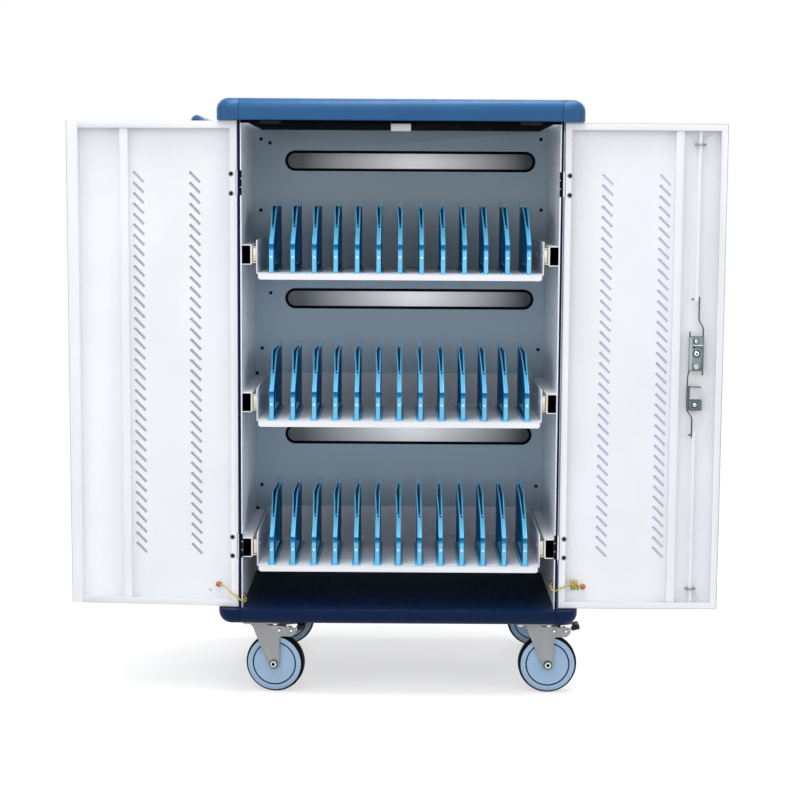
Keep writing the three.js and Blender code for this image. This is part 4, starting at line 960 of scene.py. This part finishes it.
# The key slot is a black bar: painted shade.
block(hardware(body_of["rear_door"], SHADE_BLACK), rear_key + Vector((-0.7, 0.1, -3.5)), rear_key + Vector((0.7, 0.5, 3.5)))


# Lock gear on the right door

lock_low, lock_high = span("lock_plate")
key_low, key_high = span("key_lock")
LOCK_AT = 224.7
LOCK_Z = (lock_low.z + lock_high.z) / 2
KEY_TOP = key_high.z
PLATE_IN = -5.25
PLATE_OUT = -3.25
ROD_RADIUS = 3
ROD_LINE = -7.15
RACK_AT = 11.05
KEY_SIDE = 211.2
LINKS = {True: 90.4, False: 136.9}
STRIP = 2
STRIP_DEPTH = (-8.6, -5.7)


def teardrop(centre, low, radius, tip, steps=12):
    """The outline around two circles, one above the other."""
    upper = [(centre[0] + radius * math.cos(t), centre[1] + radius * math.sin(t))
             for t in [math.pi * i / steps for i in range(steps + 1)]]
    lower = [(centre[0] + tip * math.cos(t), low + tip * math.sin(t))
             for t in [math.pi * (1 + i / steps) for i in range(steps + 1)]]
    return [*upper, *lower]


def lock_plate():
    leaf = RIGHT_LEAF
    bm = bmesh.new()
    ring = [(LOCK_AT + 6.4 * math.cos(t), LOCK_Z + 6.4 * math.sin(t)) for t in
            [2 * math.pi * i / 24 for i in range(24)]]
    sheet = [(LOCK_AT - 12, lock_low.z), (LOCK_AT + 12, lock_low.z), (LOCK_AT + 12, lock_high.z),
             (LOCK_AT - 12, lock_high.z)]
    prism(bm, [sheet, ring], PLATE_IN, PLATE_OUT, lambda u, z, n: leaf(u, n, z))
    for low, high in ((lock_low.z, lock_low.z + 2), (lock_high.z - 2, lock_high.z)):
        leaf.block(bm, (LOCK_AT - 9, LOCK_AT + 9), (SKIN_IN, PLATE_IN), (low, high))
    round_edges(bm, 0.35)
    make("lock_plate_channel", bm, DARK_ZINC, leaf.body, ["lock_plate"])
    bm = bmesh.new()
    leaf.block(bm, (LOCK_AT - 12, LOCK_AT - 7), (PLATE_OUT, PLATE_OUT + 1.6),
               (lock_low.z + 1, lock_high.z - 1))
    round_edges(bm, 0.5)
    make("lock_plate_flange", bm, ZINC, leaf.body, ["lock_plate"])
    bm = bmesh.new()
    leaf.block(bm, (LOCK_AT - 5.5, LOCK_AT + 10), (PLATE_OUT, PLATE_OUT + 1.0),
               (LOCK_Z + 15.5, lock_high.z - 0.6))
    prism(bm, [teardrop((LOCK_AT + 0.6, LOCK_Z), LOCK_Z - 20, 9.2, 6), ring], PLATE_OUT, PLATE_OUT + 0.8,
          lambda u, z, n: leaf(u, n, z))
    round_edges(bm, 0.3, angle=60)
    make("lock_plate_cover", bm, MID_ZINC, leaf.body, ["lock_plate"])
    bm = bmesh.new()
    leaf.block(bm, (LOCK_AT - 6, LOCK_AT + 10.5), (PLATE_OUT, PLATE_OUT + 1.4),
               (LOCK_Z + 13.2, LOCK_Z + 14.8))
    make("lock_plate_clip", bm, WHITE, leaf.body, ["lock_plate"])
    ringed_screw(leaf.body, leaf(LOCK_AT - 0.8, PLATE_OUT + 1, LOCK_Z + 20.2), leaf.inward, 3.4)
    lathe(hardware(leaf.body, IVORY), [(4.2, 0), (4.2, 1.2), (3.4, 2.2), (0, 2.4)],
          leaf(LOCK_AT - 0.3, PLATE_OUT + 0.8, LOCK_Z - 22), leaf.inward, 24)
    # A small dome drawn in the black used for painted shade.
    pan_head(leaf.body, leaf(LOCK_AT - 4.4, PLATE_OUT + 0.2, LOCK_Z + 11.2), leaf.inward, 1.4, 0.8, SHADE_BLACK)


def key_lock():
    leaf = RIGHT_LEAF
    left, right = LOCK_AT - 10.75, LOCK_AT + 10.75
    bm = bmesh.new()
    leaf.block(bm, (left + 1.4, right - 1), (SKIN_IN, PLATE_OUT - 0.4), (KEY_TOP - 21, KEY_TOP - 1.2))
    round_edges(bm, 0.6)
    make("key_lock_case", bm, PALE_ZINC, leaf.body, ["key_lock"])
    bm = bmesh.new()
    leaf.block(bm, (left, right - 1.4), (SKIN_IN, PLATE_OUT), (KEY_TOP - 1.1, KEY_TOP))
    leaf.block(bm, (left, right), (SKIN_IN, PLATE_OUT), (key_low.z, KEY_TOP - 22.6))
    leaf.block(bm, (left, left + 1.3), (SKIN_IN, PLATE_OUT), (KEY_TOP - 23, KEY_TOP))
    round_edges(bm, 0.4)
    make("key_lock_bracket", bm, DARK_ZINC, leaf.body, ["key_lock"])
    bm = bmesh.new()
    middle = (key_low.z + key_high.z) / 2
    lathe(bm, [(0, 0), (9, 0), (9, 0.8), (8.2, 1.7), (6.2, 1.7), (6, 1.2), (0, 1.2)],
          leaf(LOCK_AT, SKIN_OUT, middle), -leaf.inward, 32)
    make("key_lock_barrel", bm, CHROME, leaf.body, ["key_lock"])
    leaf.block(hardware(leaf.body, BLACK), (LOCK_AT - 0.7, LOCK_AT + 0.7), (SKIN_OUT - 1.5, SKIN_OUT - 1.1),
               (middle - 3.5, middle + 3.5))
    ringed_screw(leaf.body, leaf(LOCK_AT - 0.9, PLATE_OUT, key_low.z + 9.4), leaf.inward, 3.6)


def rounded_line(corners, reach):
    """A line through corners, each turned over a short curve."""
    corners = [Vector(corner) for corner in corners]
    line = [corners[0]]
    for before, here, after in zip(corners, corners[1:], corners[2:]):
        start = here + (before - here).normalized() * reach
        line += [start, *bend(start, here, here + (after - here).normalized() * reach, 6)]
    return [*line, corners[-1]]


def locking_rod(up):
    """A white rod, and the bent strip it is pinned to, whose end is the rack beside the pinion."""
    leaf = RIGHT_LEAF
    node = "rod_upper" if up else "rod_lower"
    turn = 1 if up else -1
    low, high = span(node)
    near = LOCK_AT + turn * RACK_AT
    beside = ROD_AT + turn * ROD_RADIUS
    link = LINKS[up]
    bends = [(near, 43.5), (beside + 1, 54.5)] if up else [(near, 28.5), (KEY_SIDE, 39.5), (KEY_SIDE, 95.9),
                                                           (beside - 1, 106.9)]
    line = rounded_line([(near, -36.5), *bends, (beside + turn, link + 4)], 5)
    bm = bmesh.new()
    edges = []
    for half in (-STRIP / 2, STRIP / 2):
        for n in STRIP_DEPTH:
            edges.append([bm.verts.new(leaf(u + half, n, LOCK_Z + turn * rise)) for u, rise in line])
    for i in range(len(line) - 1):
        for a, b in ((0, 1), (1, 3), (3, 2), (2, 0)):
            bm.faces.new([edges[a][i], edges[b][i], edges[b][i + 1], edges[a][i + 1]])
    for i in (0, -1):
        bm.faces.new([edges[0][i], edges[1][i], edges[3][i], edges[2][i]])
    at = leaf(ROD_AT - 9, ROD_LINE, LOCK_Z + turn * link)
    lathe(bm, [(0, 0), (1.4, 0), (1.4, 4), (0, 4)], at, leaf.along, 12)
    make(f"{node}_strip", bm, STRIP_STEEL, body_of[node], [node], angle=50)
    bm = bmesh.new()
    lathe(bm, [(0, 3.8), (1.2, 3.8), (1.2, 12), (0, 12)], at, leaf.along, 12)
    length = (high.z if up else LOCK_Z - low.z + LOCK_Z) - LOCK_Z - link + 4
    lathe(bm, [(0, 0), (ROD_RADIUS - 0.6, 0), (ROD_RADIUS, 0.6), (ROD_RADIUS, length - 0.8),
               (ROD_RADIUS - 0.8, length), (0, length)],
          leaf(ROD_AT, ROD_LINE, LOCK_Z + turn * (link - 4)), (0, 0, turn), 20)
    make(f"{node}_bar", bm, WHITE, body_of[node], [node])


lock_plate()
key_lock()
locking_rod(True)
locking_rod(False)
finish("lock_pinion", ZINC, width=0.5)
ringed_screw("lock", RIGHT_LEAF(LOCK_AT, PLATE_OUT + 2, LOCK_Z), RIGHT_LEAF.inward, 4.6)
finish("door_lever", BLACK, width=1.5, segments=4)


# Trays and dividers

DIVIDERS = 13
DIVIDER_PITCH = 35.6
TRAY_HALF = 238.5
TRAY_DEPTH = 280
TRAY_FRONT = 20
TRAY_SHEET = 1.5
TRAY_WALL = 54
TRAY_LEVELS = (715.5, 469.5, 223.5)
DIVIDER_BACK = 208
DIVIDER_TOP = 110
CREST = (92, DIVIDER_TOP)
NICK = ((0, 38), (5, 43), (0, 48))
GROOVE_START = 46
GROOVE_DEPTH = 4
SPLAY = 2.2
SPLAY_END = 175
BEAD_RISE = 26
LAYERS = ((-3.5, -1.7), (-1.7, 1.4), (1.4, 3.5))


def divider_rise(s):
    return NICK[2][1] + (DIVIDER_TOP - NICK[2][1]) * s / CREST[0]


def divider_outline(grooved):
    """The upright's side view; the middle layer lies lower behind the cable hole."""
    back = DIVIDER_BACK
    crest = [*bend((78, divider_rise(78)), CREST, (106, DIVIDER_TOP), 8)]
    ridge = [(GROOVE_START + step, divider_rise(GROOVE_START + step)) for step in (8, 16, 24)]
    ridge += [(78, divider_rise(78)), *[(p.x, p.y) for p in crest]]
    ridge += [(s, DIVIDER_TOP) for s in (120, 135, 150, 165, 180)]
    start = (GROOVE_START, divider_rise(GROOVE_START))
    if grooved:
        upper = [start, *[(s + 3, z - GROOVE_DEPTH) for s, z in ridge], (back, DIVIDER_TOP - GROOVE_DEPTH)]
        window = [(34, 13), (152, 13), (152, 90), (109, 90), (47, 48)]
    else:
        upper = [start, *ridge, (back - 9, DIVIDER_TOP), (back - 9, DIVIDER_TOP + 9), (back, DIVIDER_TOP + 9)]
        window = [(34, 13), (152, 13), (152, 97), (119.7, 97), (47, 48)]
    return [[(0, -0.5), *NICK, *upper, (back, -0.5)], window]


def flank_splay(s, z):
    """How far one flank leans out of the groove, between the cable hole and the rear prong."""
    along = (s - GROOVE_START) / (SPLAY_END - GROOVE_START)
    if not 0 < along < 1:
        return 0
    return SPLAY * math.sin(math.pi * along) * min(1, max(0, (z - 55) / 45))


def tray(level, body):
    node = f"tray_{level}"
    floor = TRAY_LEVELS[level - 1]
    bm = bmesh.new()

    def sheet(x, y, z):
        block(bm, cart(x[0], TRAY_FRONT + y[0], floor + z[0]), cart(x[1], TRAY_FRONT + y[1], floor + z[1]))

    sheet((-TRAY_HALF, TRAY_HALF), (0, TRAY_DEPTH), (-TRAY_SHEET, 0))
    for side in (-1, 1):
        inside = TRAY_HALF - TRAY_SHEET
        sheet((side * TRAY_HALF, side * inside), (0, TRAY_DEPTH), (0, TRAY_WALL))
    sheet((-TRAY_HALF, TRAY_HALF), (TRAY_DEPTH - TRAY_SHEET, TRAY_DEPTH), (0, TRAY_WALL))
    lip = TRAY_HALF - 3
    prism(bm, [[(-lip, -0.5), (-lip, -8), (3 - lip, -11), (lip - 3, -11), (lip, -8), (lip, -0.5)]],
          0, TRAY_SHEET, lambda x, z, y: cart(x, TRAY_FRONT + y, floor + z))
    round_edges(bm, 0.5)
    # The top tray's rear wall is painted the partition's grey inside: painted shade, as that wall sits deep in the
    # cabinet.
    rear = FRONT + TRAY_FRONT + TRAY_DEPTH - 2.5
    make(f"{node}_pan", bm, [TRAY_WHITE, PARTITION_GREY], body, [node],
         pick=lambda centre, normal: int(level == 1 and centre.y > rear and centre.z > floor + 1))

    bm = bmesh.new()
    for side in (-1, 1):
        sheet((side * TRAY_HALF, side * (TRAY_HALF + 6.1)), (4, TRAY_DEPTH - 4), (18.4, 41.6))
        for y in (36, 150, 250):
            pan_head(body, cart(side * (TRAY_HALF - TRAY_SHEET), TRAY_FRONT + y, floor + 30), (-side, 0, 0),
                     2.6, 1.4, WHITE)
    round_edges(bm, 0.6)
    make(f"{node}_runners", bm, SLIDE_STEEL, body, [node])

    bm = bmesh.new()
    for i in range(DIVIDERS):
        x0 = (i - (DIVIDERS - 1) / 2) * DIVIDER_PITCH
        for k, (start, end) in enumerate(LAYERS):
            def place(s, z, depth):
                splay = flank_splay(s, z) if k == 0 else 0
                inset = 0.5 if k == 1 and s < 6 and z > 0 else 0
                return cart(x0 + depth - splay, TRAY_FRONT + TRAY_SHEET + s + inset, floor + z)

            prism(bm, divider_outline(k == 1), start, end, place)
        # A black disc at the cable hole's start on each divider: painted shade for the hole.
        hole = cart(x0 + 0.6, TRAY_FRONT + TRAY_SHEET + GROOVE_START - 4,
                    floor + divider_rise(GROOVE_START - 4))
        lathe(hardware(body, SHADE_BLACK), [(0, 1.2), (1.5, 1.2), (1.5, 0), (0, 0)], hole, (0, -1, 0.5), 12)
        # A pale dome on each divider's front edge: a painted highlight where the edge bends.
        bead = cart(x0, TRAY_FRONT + TRAY_SHEET + 0.4, floor + BEAD_RISE)
        lathe(hardware(body, DIVIDER_PAINTED_HIGHLIGHT), [(2.3, 0), (2.1, 0.6), (1.2, 1.1), (0, 1.2)], bead, (0, -1, 0), 16)
        block(bm, cart(x0 - 7.25, TRAY_FRONT + TRAY_SHEET, floor - 0.4),
              cart(x0 + 7.25, TRAY_FRONT + TRAY_SHEET + DIVIDER_BACK, floor + TRAY_SHEET))
    bmesh.ops.dissolve_limit(bm, angle_limit=math.radians(1), verts=bm.verts, edges=bm.edges)
    round_edges(bm, 0.45, angle=50)

    def pick(centre, normal):
        # The nick and the groove's inner walls take the half-shade blue; the sides, the rear post and the sunk
        # middle layer take the full shade blue. Both are painted shade on one plastic.
        s, z = centre.y - FRONT - TRAY_FRONT - TRAY_SHEET, centre.z - floor
        nicked = s > 0.3 and NICK[0][1] < z < NICK[2][1] and s < NICK[1][0] + 0.5
        behind = s > 100 and 4 < z < DIVIDER_TOP - 5
        aside = (centre.x - MIDDLE + DIVIDER_PITCH / 2) % DIVIDER_PITCH - DIVIDER_PITCH / 2
        grooved = abs(normal.x) > 0.6 and aside * normal.x < 0
        sunk = abs(aside) < 1.5 and s > GROOVE_START - 2 and z > 50
        return 2 if nicked or grooved else int(abs(normal.x) > 0.6 or behind or sunk)

    make(f"{node}_dividers", bm, [CYAN, DIVIDER_SHADE, DIVIDER_HALF_SHADE], body, [node], pick=pick)


for level, body in ((1, "top_tray"), (2, "middle_tray"), (3, "bottom_tray")):
    tray(level, body)


# Slides: pale tube spacers, painted black inside as painted shade, with a steel rail

SPACER = 17.5


def slide_pick(centre, normal):
    depth = WALL - abs(centre.x - MIDDLE)
    if depth > SPACER + 0.1:
        return 0
    # Faces inside the spacer's bore take the black: painted shade.
    inside = 1 < depth < SPACER - 1 and abs(normal.y) < 0.5
    facing_in = abs(normal.x) > 0.5 and 1.2 < depth < SPACER - 1.2
    return 2 if facing_in or inside and slide_bore(centre, normal) else 1


def slide_bore(centre, normal):
    """Whether a level face of the spacer looks into its own bore."""
    nearest = min(TRAY_LEVELS, key=lambda floor: abs(floor + 30 - centre.z))
    return (centre.z - nearest - 30) * normal.z < 0


for level in (1, 2, 3):
    for side in ("left", "right"):
        finish(f"slide_{level}_{side}", [SLIDE_STEEL, TRAY_WHITE, SHADE_BLACK], width=0.25,
               longest=20, pick=slide_pick)


# Push handle

GRIP = 11
GRIP_FOOT = 18
GRIP_BEND = 24
GRIP_ENDS = (95, 335)


def push_handle():
    wall, out, top, foot = -268, -345, 967.5, 909.5
    slope = Vector((out - wall, 0, top - foot)).normalized()
    path = []
    for y, turn in zip(GRIP_ENDS, (1, -1)):
        corner = Vector((out, y, top))
        before, after = corner - slope * GRIP_BEND, corner + Vector((0, turn * GRIP_BEND, 0))
        arm = [Vector((wall, y, foot)) + slope * 2, before, *bend(before, corner, after, 12)]
        path += arm if turn > 0 else reversed(arm)
    bm = bmesh.new()
    tube(bm, [cart(*p) for p in path], GRIP, 28)
    for y in GRIP_ENDS:
        lathe(bm, [(0, 0), (GRIP_FOOT, 0), (GRIP_FOOT, 2.6), (GRIP_FOOT - 1, 4), (12, 4.2), (0, 4.2)],
              cart(wall, y, foot), (-1, 0, 0), 40)
        for angle in (0, 180):
            rise = 14.5 * math.cos(math.radians(angle))
            pan_head("cabinet", cart(wall - 3.9, y, foot + rise), (-1, 0, 0), 2.2, 1.2)
    make("push_handle_bar", bm, HANDLE_BLUE_PAINTED_SHADE, "cabinet", ["push_handle"])


push_handle()


# Casters

AXLE_REACH = 19
PEDAL_TOE = 64
TOE_CAP = 4
TOE_HEIGHT = 9
TOE_TILT = 0.25


def wheel(node, joint):
    centre = point(joint)
    axis = Vector(joints[joint]["axis"]).normalized()
    flank = [(5.3, 12), (9, 12), (10, 11.4), (33.6, 11.4), (35, 12), (35.5, 11.6), (35.9, 9.4), (37.2, 9.4),
             (37.7, 11.7), (38.6, 12), (45.2, 12), (46, 11.6), (46.3, 10.9), (48.6, 9.2), (49.6, 7.2), (50, 4.5)]
    profile = [(r, -a) for r, a in flank] + [(r, a) for r, a in reversed(flank)]
    bm = bmesh.new()
    lathe(bm, [*profile, profile[0]], centre, axis, 72)
    bmesh.ops.remove_doubles(bm, verts=bm.verts, dist=0.001)

    def pick(place, normal):
        away = place - centre
        radius = (away - axis * away.dot(axis)).length
        return int(radius > 46.0 or 35.4 < radius < 37.8)

    make(f"{node}_rolling", bm, [WHEEL, TYRE], body_of[node], [node], pick=pick)


def caster(word, braked):
    fork = body_of[f"caster_fork_{word}"]
    hub = point(f"{word}_roll")
    swivel = point(f"{word}_swivel")
    axis = Vector(joints[f"{word}_roll"]["axis"]).normalized()
    ahead = Vector((hub.x - swivel.x, hub.y - swivel.y, 0)).normalized()
    finish(f"caster_plate_{word}", CASTER_ZINC, width=0.5)
    finish(f"caster_fork_{word}", CASTER_ZINC, width=0.5, longest=1)
    wheel(f"caster_wheel_{word}", f"{word}_roll")
    plate_low, plate_high = span(f"caster_plate_{word}")
    for dx in (-24, 24):
        for dy in (-24, 24):
            hex_head("cabinet", (swivel.x + dx, swivel.y + dy, plate_high.z - 3), (0, 0, -1), 7, 3)
    for side in (-1, 1):
        face = hub + axis * side * (AXLE_REACH - 2.5)
        lathe(hardware(fork, DARK_ZINC), [(5, 0), (8.2, 0), (8.2, 1.2), (6.4, 1.4)], face, axis * side, 24)
        lathe(hardware(fork, CHROME), [(6.4, 1.2), (6.2, 4.2), (5.2, 5.2), (3.4, 5.2), (3, 4)], face,
              axis * side, 6)
        # The axle nut's recess is black: painted shade.
        lathe(hardware(fork, SHADE_BLACK), [(3.2, 4.4), (2.4, 3.6), (0, 3.6)], face, axis * side, 12)
    if braked:
        bm = cad_copy(f"brake_pedal_{word}")
        turn = Matrix((ahead, axis, (0, 0, 1)))
        toe = [turn @ (v.co - swivel) for v in bm.verts if (v.co - swivel).dot(ahead) > PEDAL_TOE]
        low, high = (Vector([limit(p[i] for p in toe) for i in range(3)]) for limit in (min, max))
        cut = bmesh.ops.bisect_plane(bm, geom=[*bm.verts, *bm.edges, *bm.faces], clear_outer=True,
                                     plane_co=swivel + ahead * PEDAL_TOE, plane_no=ahead)
        bmesh.ops.edgeloop_fill(bm, edges=[e for e in cut["geom_cut"] if isinstance(e, bmesh.types.BMEdge)])
        round_edges(bm, 0.8, segments=3)
        make(f"brake_pedal_{word}_lever", bm, CHROME, body_of[f"brake_pedal_{word}"],
             [f"brake_pedal_{word}"])
        bm = bmesh.new()
        middle = Vector(((PEDAL_TOE - 2 + high.x + TOE_CAP) / 2, 0, (low.z + high.z) / 2 - 2))
        size = Vector((high.x + TOE_CAP - PEDAL_TOE + 2, high.y - low.y + 2, TOE_HEIGHT))
        bmesh.ops.create_cube(bm, size=1, matrix=Matrix.Translation(swivel) @ turn.transposed().to_4x4()
                              @ Matrix.Translation(middle) @ Matrix.Rotation(-TOE_TILT, 4, "Y")
                              @ Matrix.Diagonal(size).to_4x4())
        round_edges(bm, 2.4, segments=4)
        make(f"brake_pedal_{word}_toe", bm, BLACK, body_of[f"brake_pedal_{word}"], [f"brake_pedal_{word}"])
        for reach in (33.5, 54):
            for side in (-1, 1):
                at = swivel + ahead * reach + axis * side * 16.5
                at.z = 108.5
                lathe(hardware(fork, DARK_ZINC), [(3.4, 0), (3.4, 0.6), (2.6, 0.8)], at, axis * side, 18)
                lathe(hardware(fork, CHROME), [(2.7, 0.6), (2.2, 1.3), (0, 1.5)], at, axis * side, 18)


for end in ("front", "rear"):
    for side in ("left", "right"):
        caster(f"{end}_{side}", end == "front")


# Earth wires

WIRE_RADIUS = 1.25
LUG = 4


def earth_wire(node, points, leaf, door_lug, wall_lug):
    """Insulation curved round the hinge, and a lug with its screw at each end."""
    bm = bmesh.new()
    tube(bm, [cart(*p) for p in smooth_path(points, 8)], WIRE_RADIUS, 10)
    wire = make(f"{node}_insulated", bm, WIRE, None, [node])
    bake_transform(wire)
    for word, body, at, direction in (
            ("door", leaf.body, leaf(door_lug[0], SKIN_IN + 0.3, door_lug[1]), leaf.inward),
            ("wall", "cabinet", cart(leaf.side * (WALL - 0.3), *wall_lug), Vector((-leaf.side, 0, 0)))):
        bm = bmesh.new()
        lathe(bm, [(0, 0), (LUG, 0), (LUG, 1.4), (LUG - 0.4, 2)], at, direction, 24)
        crown = [(4.6 * math.cos(t), 2 + 3.4 * math.sin(t)) for t in (0, 0.4, 0.8, 1.2)]
        lathe(bm, [(0, 2), *crown, (0, 5.5)], at, direction, 24)
        make(f"{node}_{word}_lug", bm, COPPER, body, [node])


curls = [(290 + 5 * i / 8, 22.6 - 4.8 * math.cos(math.pi * i / 4), 192 + 8 * math.sin(math.pi * i / 4))
         for i in range(25)]
earth_wire("earth_wire_left", [
    (-304.5, 31.4, 188), (-303, 28.2, 188), (-297, 23, 187), (-288.5, 16, 183.5), (-280, 13.2, 176),
    (-271.5, 13, 170), (-265, 13.2, 164), (-260, 16.5, 161), (-257.5, 23, 162), (-258.5, 30, 165),
    (-262, 36, 168)], LEFT_LEAF, (36, 188), (37, 168))
earth_wire("earth_wire_right", [
    (262, 36, 192), (258.5, 30, 191), (257.5, 22, 188), (260, 15.5, 184.5), (266, 13, 184), (274, 13, 188),
    (282, 14.5, 191), *curls, (309, 23.5, 189), (312.5, 28.3, 188)], RIGHT_LEAF, (43, 188), (37, 192))


for (body, finish_name), (bm, material) in gathered.items():
    make(f"{body}_{finish_name}_fasteners", bm, material, body)

add_camera()
add_studio()
